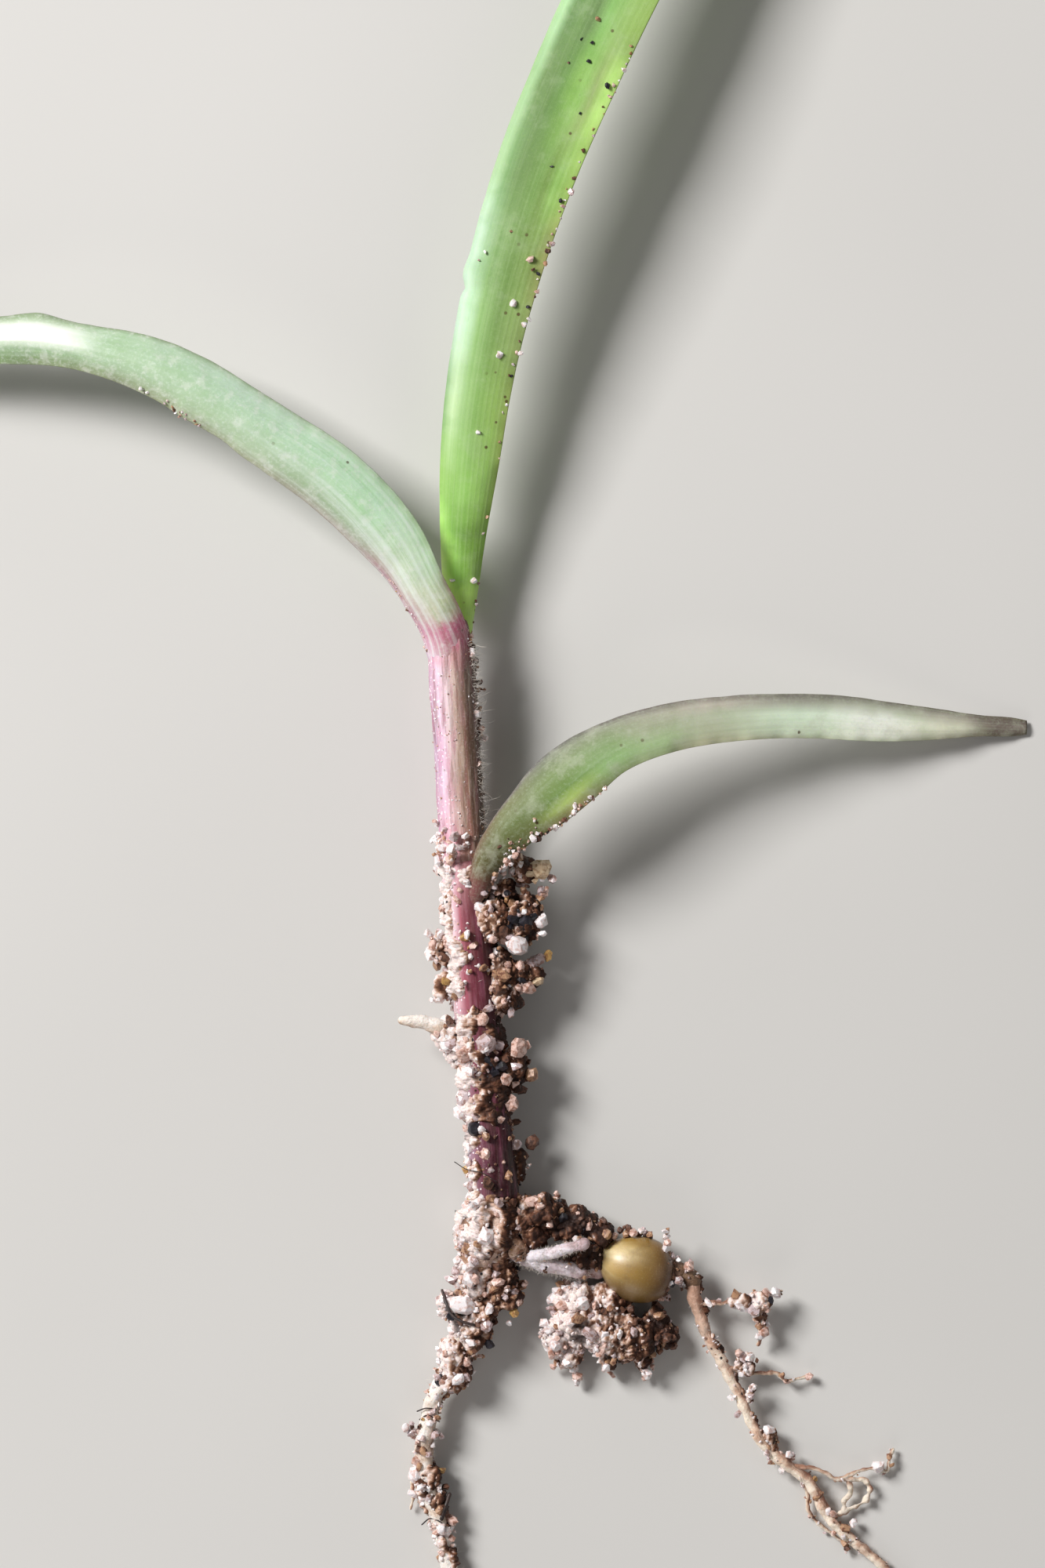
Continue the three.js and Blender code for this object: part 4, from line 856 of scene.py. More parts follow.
GRAIN_KINDS = {  # colour, stain, roughness and coat of each kind of grain
    "milky": ((0.94, 0.88, 0.9), (0.72, 0.55, 0.52), 0.15, 0.35),
    "clear": ((0.62, 0.51, 0.53), (0.36, 0.22, 0.19), 0.1, 0.4),
    "pink": ((0.76, 0.54, 0.48), (0.42, 0.22, 0.16), 0.25, 0.3),
    "tan": ((0.46, 0.27, 0.16), (0.2, 0.085, 0.05), 0.3, 0.25),
    "amber": ((0.5, 0.31, 0.11), (0.28, 0.13, 0.05), 0.3, 0.2),
    "honey": ((0.72, 0.56, 0.38), (0.44, 0.28, 0.16), 0.15, 0.35),
    "brown": ((0.15, 0.065, 0.038), (0.05, 0.02, 0.013), 0.5, 0.1),
    "dark": ((0.008, 0.007, 0.012), (0.022, 0.019, 0.03), 0.42, 0.1),
}
GRAIN_LOOKS = [grain_look("grain_" + kind, *parts) for kind, parts in GRAIN_KINDS.items()]
KIND_NAMES = list(GRAIN_KINDS)
SAND = [  # how common each kind of grain is: on the pale side, between, and on the dim side
    {"milky": 0.55, "clear": 0.15, "pink": 0.24, "tan": 0.05, "amber": 0.01},
    {"milky": 0.2, "clear": 0.2, "pink": 0.24, "tan": 0.2, "amber": 0.02, "brown": 0.13, "dark": 0.01},
    {"clear": 0.08, "pink": 0.1, "tan": 0.24, "brown": 0.53, "dark": 0.05},
]
CRUST_LOOK = crust_look()
HAIR_LOOK = plain_look("pale_hair", (0.7, 0.66, 0.62), (0.55, 0.48, 0.4), 0.3, 0.4)
THREAD_LOOK = plain_look("dark_fibre", (0.02, 0.014, 0.014), (0.06, 0.035, 0.03), 0.2, 0.4)

# Sand

MOST_GRAINS = 4000  # in one pile
TRIES = 6  # for each grain, before a pile goes without it
NEAREST = 0.66  # how near two grains come, as a share of their radii added up
CORE_SIZE = 0.93  # of a clump's eggs
CORE_CELL = 0.038  # how fine the skin round them is
GRAIN_REACH = 1.3  # how far out of the eggs a clump's grains lie
CRUST_DEPTH = 0.1  # how deep a crust is hidden where it is bare


def ball():
    shape = bmesh.new()
    bmesh.ops.create_icosphere(shape, subdivisions=3, radius=1)
    corners = np.array([v.co[:] for v in shape.verts])
    faces = np.array([[v.index for v in face.verts] for face in shape.faces])
    shape.free()
    return corners, faces


def crystals(count, corners, random):
    """Angular grains about 1 in radius: hulls of corners that are spread over a ball."""
    shapes, faces = [], []
    for _ in range(count):
        spread = unit(random.normal(size=(corners, 3)))
        for _ in range(6):
            gap = spread[:, None] - spread
            push = gap / (np.linalg.norm(gap, axis=-1, keepdims=True) ** 3 + 0.02)
            spread = unit(spread + 0.02 * push.sum(1))
        hull = bmesh.new()
        for corner in spread:
            hull.verts.new(corner)
        bmesh.ops.convex_hull(hull, input=hull.verts[:])
        bmesh.ops.recalc_face_normals(hull, faces=hull.faces[:])
        hull.verts.index_update()
        faces.append([[v.index for v in face.verts] for face in hull.faces])
        hull.free()
        shapes.append(spread * random.uniform(0.78, 1.16, (corners, 1)))
    return np.array(shapes), np.array(faces)


SHAPE_RANDOM = np.random.default_rng(3)
GRAIN_SHAPES = [  # from which radius on, and the shapes
    (0.2, crystals(12, 26, SHAPE_RANDOM)),
    (0.08, crystals(40, 14, SHAPE_RANDOM)),
    (0, crystals(20, 9, SHAPE_RANDOM)),
]


def turned(count, random):
    """Random rotations, as matrices."""
    q = unit(random.normal(size=(count, 4)))
    w, x, y, z = q.T
    return np.stack([
        1 - 2 * (y * y + z * z), 2 * (x * y - w * z), 2 * (x * z + w * y),
        2 * (x * y + w * z), 1 - 2 * (x * x + z * z), 2 * (y * z - w * x),
        2 * (x * z - w * y), 2 * (y * z + w * x), 1 - 2 * (x * x + y * y)], -1).reshape(-1, 3, 3)


class Pile:
    """Grains that each lie on a skin or on an earlier grain. dim(x) is how dim the sand is at that x: partly
    the soil's own tone, and where it rises towards +X, away from the light, painted shade.
    """

    def __init__(self, seed, dim):
        self.random = np.random.default_rng(seed)
        self.dim = dim
        self.at = np.zeros((MOST_GRAINS, 3))
        self.out = np.zeros((MOST_GRAINS, 3))
        self.radius = np.zeros(MOST_GRAINS)
        self.kind = []

    def pick_kind(self, at, out):
        """Pale kinds in patches and towards the light, dim kinds elsewhere, and more of those where dim is
        high."""
        tone = self.dim(at[0]) + noise.noise(Vector(at) * 2.0) + 0.5 * out[0]
        mix = SAND[int(np.digitize(tone, (-0.12, 0.25)))]
        return self.random.choice(list(mix), p=np.array(list(mix.values())) / sum(mix.values()))

    def place(self, at, radius, out=UP, kind=None):
        n = len(self.kind)
        self.at[n], self.out[n], self.radius[n] = at, out, radius
        self.kind.append(kind or self.pick_kind(at, out))

    def fits(self, at, radius):
        if at[2] < radius:
            return False
        n = len(self.kind)
        gap = np.linalg.norm(self.at[:n] - at, axis=1) / (self.radius[:n] + radius)
        return n == 0 or gap.min() > NEAREST

    def spike(self, start, end, radius):
        """A row of grains stuck to one another, smaller towards the end."""
        start, end = np.array(start), np.array(end)
        run = np.linalg.norm(end - start)
        done = 0
        while done < run:
            size = radius * (1 - 0.4 * done / run) * self.random.uniform(0.85, 1.2)
            at = start + (end - start) * done / run + 0.2 * size * self.random.normal(size=3)
            self.place(at, size, kind=self.random.choice(["milky", "pink", "pink", "tan"]))
            done += 1.2 * size

    def spread(self, spots, count, climb, reach=None, sizes=COMMON_GRAINS, sink=0.2):
        """spots() gives a place on a skin and the way out of it. climb is how many lie on earlier grains,
        and reach says whether a place is allowed."""
        for _ in range(TRIES * count):
            if count == 0:
                break
            n = len(self.kind)
            radius = sizes[0] + (sizes[1] - sizes[0]) * self.random.random() ** 2.2
            if n and self.random.random() < climb:
                base = self.random.integers(n)
                out = unit(self.random.normal(size=3) + 1.1 * self.out[base])
                at = self.at[base] + out * 0.76 * (radius + self.radius[base])
            else:
                spot, out = spots()
                at = spot + out * radius * sink
            if (reach is None or reach(at)) and self.fits(at, radius):
                self.place(at, radius, out)
                count -= 1

    def mesh(self):
        """Points and faces of all grains, and the kind of each face."""
        n = len(self.kind)
        radius = self.radius[:n]
        turns = turned(n, self.random)
        stretch = self.random.uniform(0.68, 1.36, (n, 3))
        number = np.array([KIND_NAMES.index(kind) for kind in self.kind])
        points, faces, kinds, start = [], [], [], 0
        limit = np.inf
        for least, (shapes, shape_faces) in GRAIN_SHAPES:
            which = np.flatnonzero((radius >= least) & (radius < limit))
            limit = least
            if len(which) == 0:
                continue
            chosen = self.random.integers(len(shapes), size=len(which))
            picked = shapes[chosen]
            scaled = picked * (stretch[which] * radius[which, None])[:, None]
            placed = np.einsum("nij,nkj->nki", turns[which], scaled) + self.at[which, None]
            placed[..., 2] = np.maximum(placed[..., 2], LOWEST_SAND)
            corners = placed.shape[1]
            offsets = start + corners * np.arange(len(which))
            points.append(placed.reshape(-1, 3))
            faces.append((shape_faces[chosen] + offsets[:, None, None]).reshape(-1, 3))
            kinds.append(np.repeat(number[which], shape_faces.shape[1]))
            start += corners * len(which)
        return np.vstack(points), np.vstack(faces), np.concatenate(kinds)

    def add(self, name):
        points, faces, kinds = self.mesh()
        piece = add_piece(name, points, faces, {}, GRAIN_LOOKS, kinds, smooth=False)


def skin_spots(random, route, radius, start, end, around=(0, TURN), thick=None):
    """Random places on a limb, more of them where thick, of the place, the share along and the angle, is
    nearer 1."""

    def spot():
        while True:
            share = random.uniform(start, end)
            angle = random.uniform(*around)
            centre, _, across, up = (part[0] for part in route.frames(share))
            out = math.cos(angle) * across + math.sin(angle) * up
            place = centre + radius(np.array([share]))[0] * out
            if thick is None or random.random() < thick(place, share, angle):
                return place, out

    return spot


def leaf_spots(random, leaf, shares, spans):
    """Random places on a leaf's upper face, between two shares and two spans."""
    rows, columns = np.linspace(*shares, 60), np.linspace(*spans, 30)
    points, out = leaf.surface(rows, columns)

    def spot():
        i, j = random.integers(len(rows)), random.integers(len(columns))
        return points[i, j] + out[i, j] * half_thickness(columns[j]), out[i, j]

    return spot


def middles_and_radii(eggs):
    return (np.array(part) for part in zip(*eggs))


def in_eggs(eggs, scale):
    """Whether a place lies in one of the eggs, made larger by scale."""
    middles, radii = middles_and_radii(eggs)
    return lambda place: (np.linalg.norm((place - middles) / (radii * scale), axis=1) < 1).any()


def egg_spots(random, eggs):
    """Random places on the outside of eggs that may overlap."""
    middles, radii = middles_and_radii(eggs)
    weights = (radii**2).sum(1)
    inside = in_eggs(eggs, 0.97)

    def spot():
        while True:
            which = random.choice(len(eggs), p=weights / weights.sum())
            way = unit(random.normal(size=3))
            place = middles[which] + way * radii[which]
            if not inside(place) and place[2] > 0.05:
                return place, unit(way / radii[which])

    return spot


def fused(eggs):
    """One closed skin round eggs that overlap: its points, faces and ways out."""
    corners, faces = ball()
    balls = [(corners * radii * CORE_SIZE + middle, faces, {})
             for middle, radii in zip(*middles_and_radii(eggs))]
    points, faces, _ = joined(balls)
    mesh = bpy.data.meshes.new("eggs")
    mesh.from_pydata(points.tolist(), [], faces)
    eggs_object = bpy.data.objects.new("eggs", mesh)
    bpy.context.scene.collection.objects.link(eggs_object)
    skin = eggs_object.modifiers.new("skin", "REMESH")
    skin.mode = "VOXEL"
    skin.voxel_size = CORE_CELL
    done = eggs_object.evaluated_get(bpy.context.evaluated_depsgraph_get())
    result = done.to_mesh()
    points = np.array([v.co[:] for v in result.vertices])
    out = np.array([v.normal[:] for v in result.vertices])
    faces = [list(face.vertices) for face in result.polygons]
    done.to_mesh_clear()
    bpy.data.objects.remove(eggs_object)
    bpy.data.meshes.remove(mesh)
    return points, faces, out


def add_core(name, eggs, lit):
    """The crumbly inside of a clump. Its third argument, a function of x, is about 0 for dark soil and 1 for
    pale sand, and where it falls towards +X, away from the light, that is painted shade.
    """
    points, faces, out = fused(eggs)
    height, values = crumbly(points)
    points = points + out * height[:, None]
    points[:, 2] = np.maximum(points[:, 2], LOWEST_SAND)
    core = add_piece(name, points, faces, values | {"lit": lit(points[:, 0])}, [CRUST_LOOK])
    return core, points, out, 1.05 - values["hollow"]


def crust_spots(random, points, out, weight):
    """Random places on a crust, more of them where weight is larger."""
    chances = weight / weight.sum()

    def spot():
        i = random.choice(len(points), p=chances)
        return points[i], out[i]

    return spot


def add_crust(limb, cover, lit, sides=72, steps=500, thickness=0.04):
    """A crust on a limb. It shows where cover, of the places, the shares along and the X parts of the ways
    out, is over 0. Its third argument, a function of x and y, is about 0 for dark soil and 1 for pale sand;
    where it rises towards -X, where the light falls, that is painted light."""
    route, radius = LIMBS[limb]

    def relief(points, s, a):
        out_x = unit(points - route.at(s))[..., 0]
        crust = fade(cover(points, s, out_x) + 0.5 * unevenness(points, 0.55, 3.0), 0, 0.35)
        return -CRUST_DEPTH + crust * (CRUST_DEPTH + thickness + crumbly(points)[0])

    points, faces, _ = tube(route, radius, sides, steps, relief, 0.2)
    values = crumbly(points)[1] | {"lit": lit(points[:, 0], points[:, 1])}
    piece = add_piece("crust_on_" + limb, points, faces, values, [CRUST_LOOK])


LARGE_GRAINS = {  # grains that stand out in the photo: x, y, height, radius and kind
    "sand_at_leaf_base": [
        (0.9, 7.31, 1.98, 0.3, "milky"), (0.8, 8.06, 1.88, 0.24, "dark"), (1.1, 7.96, 1.92, 0.27, "dark"),
        (1.32, 8.12, 1.8, 0.19, "dark"), (0.66, 7.88, 1.85, 0.15, "dark"), (0.95, 8.2, 2.05, 0.08, "clear"),
        (1.55, 8.0, 1.8, 0.2, "milky"), (1.6, 7.65, 1.75, 0.16, "milky"), (1.08, 8.28, 2.2, 0.1, "milky"),
        (0.45, 7.75, 1.9, 0.2, "brown"), (1.57, 9.5, 1.75, 0.25, "honey"), (1.87, 9.22, 1.7, 0.16, "clear"),
        (1.25, 9.38, 1.8, 0.14, "honey"), (1.42, 9.15, 1.7, 0.12, "honey"),
        (1.62, 9.2, 1.75, 0.12, "milky"), (1.6, 8.86, 1.5, 0.2, "clear"), (1.78, 7.02, 1.35, 0.15, "amber"),
        (1.45, 6.85, 1.35, 0.26, "clear"), (1.48, 6.31, 1.35, 0.2, "honey"), (1.19, 6.08, 1.5, 0.2, "pink"),
        (0.4, 8.2, 1.95, 0.13, "milky"), (0.62, 6.75, 1.75, 0.14, "pink"), (0.98, 6.7, 1.7, 0.16, "pink")],
    "sand_left_of_stem": [
        (-1.68, 7.65, 1.25, 0.16, "milky"), (-1.51, 7.3, 1.4, 0.2, "pink"),
        (-1.6, 7.05, 1.25, 0.16, "milky"), (-1.3, 7.6, 1.5, 0.16, "milky"),
        (-1.2, 6.95, 1.4, 0.2, "brown")],
    "sand_on_lower_sheath": [
        (-1.1, 6.1, 1.4, 0.25, "milky"), (0.0, 4.5, 1.8, 0.27, "clear"), (-0.63, 4.16, 1.72, 0.31, "pink"),
        (-1.1, 4.43, 1.4, 0.22, "milky"), (-0.63, 2.93, 1.45, 0.27, "clear"),
        (-0.75, 2.52, 1.35, 0.2, "milky"), (-0.31, 2.07, 1.66, 0.26, "dark"),
        (0.12, 3.97, 1.68, 0.25, "dark"), (0.42, 3.85, 1.62, 0.24, "dark"), (0.24, 3.66, 1.66, 0.2, "dark"),
        (0.55, 4.08, 1.6, 0.15, "brown"), (0.3, 4.05, 1.85, 0.08, "clear"), (0.0, 3.5, 1.7, 0.14, "dark"),
        (-0.9, 9.3, 1.7, 0.14, "milky"), (-1.15, 9.05, 1.5, 0.14, "milky"),
        (-1.2, 9.6, 1.45, 0.12, "milky"), (-1.1, 8.7, 1.5, 0.15, "milky"), (-1.2, 8.35, 1.4, 0.12, "pink"),
        (0.33, 2.3, 1.7, 0.18, "pink"), (-0.5, 1.1, 1.5, 0.16, "milky"), (-0.3, 0.95, 1.65, 0.13, "pink"),
        (-0.48, 0.4, 1.5, 0.18, "clear"), (-0.45, 1.51, 1.5, 0.17, "milky"),
        (-0.02, 1.35, 1.75, 0.2, "pink"), (0.52, 1.03, 1.6, 0.13, "milky"),
        (-0.34, 0.65, 1.5, 0.17, "milky"), (0.63, 0.54, 1.6, 0.15, "tan"), (-0.15, 5.2, 1.8, 0.22, "pink"),
        (-0.6, 7.6, 1.85, 0.16, "amber"), (-0.95, 7.2, 1.6, 0.18, "pink")],
    "sand_low_on_stem": [
        (0.94, 4.39, 1.5, 0.28, "pink"), (0.88, 3.82, 1.6, 0.17, "clear"), (1.32, 3.6, 1.3, 0.2, "tan"),
        (0.72, 2.8, 1.4, 0.21, "pink"), (0.52, 3.47, 1.7, 0.17, "pink"), (1.32, 1.64, 1.0, 0.2, "brown")],
    "sand_at_crown": [
        (2.2, -0.52, 1.32, 0.17, "dark"), (1.35, -0.02, 1.6, 0.2, "pink"),
        (0.55, -0.68, 1.85, 0.14, "milky"), (2.75, -0.85, 1.3, 0.1, "dark"),
        (2.95, -0.72, 1.3, 0.15, "pink")],
    "sand_on_crown": [
        (-0.22, -0.05, 1.75, 0.24, "milky"), (0.0, -1.0, 1.9, 0.24, "milky"),
        (-0.6, -1.05, 1.6, 0.18, "milky"), (-0.75, -0.55, 1.3, 0.14, "milky"),
        (-0.72, -1.25, 1.4, 0.15, "clear"), (-0.35, -1.6, 1.6, 0.16, "pink"),
        (-0.45, -0.72, 1.7, 0.14, "tan"), (0.4, -0.3, 1.85, 0.1, "dark"), (0.15, -0.45, 1.9, 0.09, "brown"),
        (0.1, 0.05, 1.85, 0.14, "tan"), (0.42, 0.0, 1.82, 0.12, "pink"), (0.74, -0.05, 1.6, 0.15, "brown"),
        (0.6, 0.1, 1.72, 0.09, "tan"), (0.28, 0.14, 1.88, 0.08, "brown"), (0.9, 0.12, 1.4, 0.12, "tan")],
    "sand_under_seed": [
        (2.75, -2.98, 1.15, 0.26, "milky"), (2.2, -3.02, 1.05, 0.2, "pink"),
        (2.97, -3.83, 1.3, 0.22, "clear"), (1.98, -4.2, 1.0, 0.2, "milky"),
        (2.3, -4.7, 0.75, 0.18, "milky"), (2.45, -3.5, 1.2, 0.18, "milky"), (3.3, -4.4, 1.1, 0.17, "pink"),
        (4.4, -4.6, 0.8, 0.17, "pink"), (4.95, -3.35, 0.95, 0.16, "tan"), (1.8, -3.75, 0.9, 0.18, "milky"),
        (3.45, -4.85, 0.7, 0.15, "milky"), (4.62, -5.05, 0.6, 0.14, "milky")],
    "sand_on_main_root": [
        (-0.68, -3.02, 1.32, 0.38, "milky"), (-1.2, -3.1, 1.05, 0.15, "milky"),
        (0.02, -3.6, 1.5, 0.24, "clear"), (-1.02, -3.34, 1.25, 0.15, "dark"),
        (-0.74, -3.48, 1.35, 0.13, "brown"), (-1.0, -2.3, 1.1, 0.18, "clear"),
        (-0.45, -2.25, 1.45, 0.25, "milky"), (0.35, -2.35, 1.4, 0.17, "pink"),
        (-0.82, -1.7, 1.2, 0.16, "milky"), (0.65, -3.55, 1.05, 0.13, "milky"),
        (0.82, -3.25, 1.05, 0.17, "amber"), (-0.55, -5.1, 1.1, 0.17, "clear")],
    "sand_down_main_root": [
        (-2.02, -7.95, 0.55, 0.21, "milky"), (-2.12, -8.5, 0.42, 0.15, "milky"),
        (-1.85, -8.4, 0.5, 0.17, "dark"), (-1.62, -8.2, 0.68, 0.13, "dark"),
        (-1.28, -7.82, 0.6, 0.13, "amber"), (-1.35, -5.95, 0.7, 0.13, "milky"),
        (-1.4, -6.75, 0.6, 0.14, "milky"), (-1.95, -6.7, 0.62, 0.13, "pink"),
        (-2.0, -7.3, 0.55, 0.13, "milky"), (-1.0, -9.25, 0.42, 0.2, "pink"),
        (-1.55, -9.5, 0.4, 0.15, "milky")],
    "sand_on_seed_root": [
        (7.27, -4.43, 0.75, 0.16, "pink"), (7.58, -4.57, 0.78, 0.19, "milky"),
        (7.54, -5.0, 0.6, 0.15, "brown"), (7.7, -5.4, 0.72, 0.15, "milky"),
        (7.04, -5.72, 0.62, 0.13, "milky"), (7.25, -6.19, 0.6, 0.13, "clear"),
        (8.71, -7.38, 0.58, 0.14, "milky"), (8.51, -7.83, 0.45, 0.15, "milky"),
        (8.21, -7.6, 0.4, 0.12, "tan"), (6.68, -4.79, 0.62, 0.09, "milky"),
        (9.47, -8.06, 0.5, 0.1, "amber"), (9.85, -9.0, 0.42, 0.12, "milky"),
        (9.56, -8.55, 0.42, 0.18, "tan"), (10.33, -9.5, 0.33, 0.19, "tan"),
        (10.57, -9.36, 0.3, 0.14, "milky"), (6.37, -2.97, 0.8, 0.15, "milky"),
        (7.18, -2.75, 0.82, 0.14, "tan"), (7.31, -3.06, 0.85, 0.2, "milky"),
        (7.74, -3.3, 0.8, 0.17, "milky"), (8.06, -2.7, 0.75, 0.15, "pink"),
        (8.33, -2.68, 0.7, 0.2, "milky"), (7.88, -3.96, 0.52, 0.16, "milky"),
        (8.64, -5.27, 0.36, 0.1, "pink"), (9.29, -5.13, 0.24, 0.13, "pink"),
        (11.3, -7.74, 0.33, 0.16, "milky"), (11.61, -7.45, 0.26, 0.12, "tan"),
        (10.36, -9.95, 0.16, 0.12, "tan")],
    "sand_round_seed": [
        (5.13, -1.42, 1.15, 0.13, "milky"), (5.2, -1.24, 1.2, 0.13, "pink"),
        (5.15, -1.05, 1.2, 0.12, "milky"), (5.2, -0.9, 1.2, 0.11, "tan"), (4.25, -0.95, 1.1, 0.12, "pink"),
        (4.45, -0.9, 1.05, 0.1, "milky"), (4.0, -0.98, 1.05, 0.11, "tan"),
        (3.65, -1.05, 1.05, 0.14, "pink"), (3.85, -0.88, 0.95, 0.1, "brown"), (4.7, -1.0, 1.1, 0.1, "tan"),
        (5.55, -2.33, 1.05, 0.13, "clear"), (5.28, -2.4, 1.05, 0.11, "milky"),
        (5.2, -2.82, 0.8, 0.1, "clear"), (5.85, -1.95, 0.95, 0.17, "pink"),
        (5.35, -1.62, 1.0, 0.1, "clear")],
}
THIRD_LEAF_GRAINS = [  # on its upper face: x, y, radius and kind
    (0.79, 25.65, 0.12, "milky"), (0.42, 24.19, 0.12, "milky"), (0.88, 24.2, 0.08, "pink"),
    (-0.2, 21.92, 0.09, "milky"), (0.76, 27.65, 0.07, "tan"), (1.24, 26.84, 0.12, "pink"),
    (0.05, 27.1, 0.07, "milky"), (-0.93, 17.78, 0.08, "milky"), (-0.4, 17.8, 0.1, "milky"),
    (-0.36, 17.05, 0.09, "clear"), (1.2, 25.5, 0.06, "dark"), (1.5, 26.45, 0.08, "dark"),
    (1.35, 26.55, 0.06, "brown"), (2.15, 28.5, 0.08, "dark"), (3.5, 31.75, 0.09, "dark"),
    (2.1, 27.2, 0.1, "clear"), (1.7, 26.75, 0.08, "tan"), (2.5, 28.75, 0.11, "clear"),
    (2.75, 33.1, 0.06, "dark"), (3.0, 32.95, 0.07, "dark"), (2.95, 32.45, 0.08, "dark"),
    (2.35, 32.4, 0.05, "brown"), (2.7, 31.0, 0.06, "dark"), (1.85, 29.5, 0.06, "dark"),
    (3.2, 33.7, 0.08, "tan"), (1.15, 24.15, 0.09, "milky"), (-0.15, 26.85, 0.05, "clear"),
]

# Light, floor and camera


def add_stage():
    camera = bpy.data.objects.new("camera", bpy.data.cameras.new("camera"))
    camera.location = to_model(CAMERA["at"])
    camera.data.lens = CAMERA["lens"]
    camera.data.sensor_fit = "VERTICAL"
    camera.data.sensor_height = CAMERA["sensor"]
    camera.data.clip_start = CAMERA["near"]
    camera.data.clip_end = CAMERA["far"]
    bpy.context.scene.collection.objects.link(camera)
    bpy.context.scene.camera = camera

    corners = [(x * FLOOR / 2, y * FLOOR / 2, 0) for x, y in ((-1, -1), (1, -1), (1, 1), (-1, 1))]
    floor = bpy.data.meshes.new("floor")
    floor.from_pydata(corners, [], [(0, 1, 2, 3)])
    look = Look("pale_floor")
    shade = look.mix(look.map(look.noise(30, 2), 0.3, 0.7), (0.66, 0.655, 0.64), (0.63, 0.625, 0.61))
    floor.materials.append(look.finish(shade, None, 0, look.map(look.noise(12, 2), 0.3, 0.7, 0.6, 0.7)))
    floor = bpy.data.objects.new("floor", floor)
    bpy.context.scene.collection.objects.link(floor)

    for name, (place, size, watts, colour) in LIGHTS.items():
        light = bpy.data.lights.new(name, "AREA")
        light.energy = watts
        light.size = size * MM
        light.color = colour
        lamp = bpy.data.objects.new(name, light)
        lamp.location = Vector(place) * MM
        lamp.rotation_euler = (-lamp.location).to_track_quat("-Z", "Y").to_euler()
        bpy.context.scene.collection.objects.link(lamp)

    world = bpy.data.worlds.new("soft_daylight")
    world.use_nodes = True
    sky = world.node_tree.nodes["Background"].inputs
    sky["Color"].default_value = DAYLIGHT["colour"]
    sky["Strength"].default_value = DAYLIGHT["strength"]
    bpy.context.scene.world = world
    bpy.context.scene.view_settings.view_transform = "Standard"


# The plant, piece by piece


def add_leaves():
    rows = [  # the leaf, how many veins, their height, and what its look is made of
        ("first_leaf", FIRST_LEAF, 9, 0.0015, dict(
            pale=(0.55, 0.64, 0.5), streaks=(5, 0.08, 0.12), frost=0.3, speck=(0.04, -1, 1), roughness=0.58,
            shine=0.3, blotches=(0.7, 0.3, (0.5, 0.52, 0.42)))),
        ("second_leaf", SECOND_LEAF, 11, 0.004, dict(
            pale=(0.8, 0.88, 0.84), streaks=(5, 0.5, 0.1), frost=0.45, speck=(0.04, -1, 1), roughness=0.4,
            shine=0.4, blotches=(0.35, 0.32, (0.82, 0.82, 0.8)))),
        ("third_leaf", THIRD_LEAF, 13, 0.003, dict(
            pale=(0.5, 0.68, 0.34), streaks=(11, 0.16, 0.08), frost=0.16, speck=(0.3, 0.0, 0.5),
            roughness=0.55, shine=0.3, blotches=(0.8, 0.15, (0.5, 0.6, 0.4)))),
    ]
    for name, leaf, veins, vein_height, settings in rows:
        look = leaf_look(name, LEAF_COLOURS[name], **settings)
        piece = add_piece(name, *blade(leaf, veins, vein_height), [look])
        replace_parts(piece, name + "_inner", name + "_outer")


def add_sheaths():
    def ribbed(points, s, a):
        veins = 0.012 * np.sin(a * 17 + 2 * np.sin(s * 3)) + 0.02 * unevenness(points, 0.8)
        rim = 0.045 * fade(np.cos(a - 0.75 - 0.5 * s), 0.93, 0.97)
        return veins + rim

    rows = [  # the sheath, how round its ends are, and its streaks, frost, grime and shine
        ("lower_sheath", 0.3, (0.06, 0.05, 0.12, 0.25)),
        ("upper_sheath", 0.6, (0.42, 0.35, 0.1, 0.4)),
    ]
    for name, blunt, settings in rows:
        look = sheath_look(name, SHEATH_COLOURS[name], *settings)
        piece = add_piece(name, *tube(*LIMBS[name], 64, 220, ribbed, blunt), [look])
        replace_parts(piece, name)


def add_seed():
    rows, sides = 96, 96
    t = np.linspace(0.02, math.pi - 0.02, rows)[:, None]
    a = (np.arange(sides) * TURN / sides)[None]
    along = -np.cos(t)
    girth = np.sin(t) ** (0.85 + 0.3 * fade(-along, -0.5, 1)) * (0.96 + 0.09 * along)
    girth = girth * (1 + 0.004 * np.sin(11 * a) * fade(along, 0.6, -0.9))
    x = along * SEED["length"] / 2 + 0 * a
    y = girth * np.cos(a) * SEED["width"] / 2 + 0.2 * np.clip(-along, 0, 1) ** 2
    z = girth * np.sin(a) * SEED["thickness"] / 2
    cos, sin = math.cos(SEED["lean"]), math.sin(SEED["lean"])
    rings = np.stack([x * cos - y * sin, x * sin + y * cos, z], -1)
    points = (rings + np.array(SEED["centre"])).reshape(-1, 3)
    faces = [face[::-1] for face in closed_faces(rows, sides)]
    values = {"along": (along + 1) / 2 + 0 * a, "around": a / TURN + 0 * t, "side": girth * np.cos(a)}
    seed = add_piece("seed", points, faces, values, [seed_look()])
    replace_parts(seed, "seed")


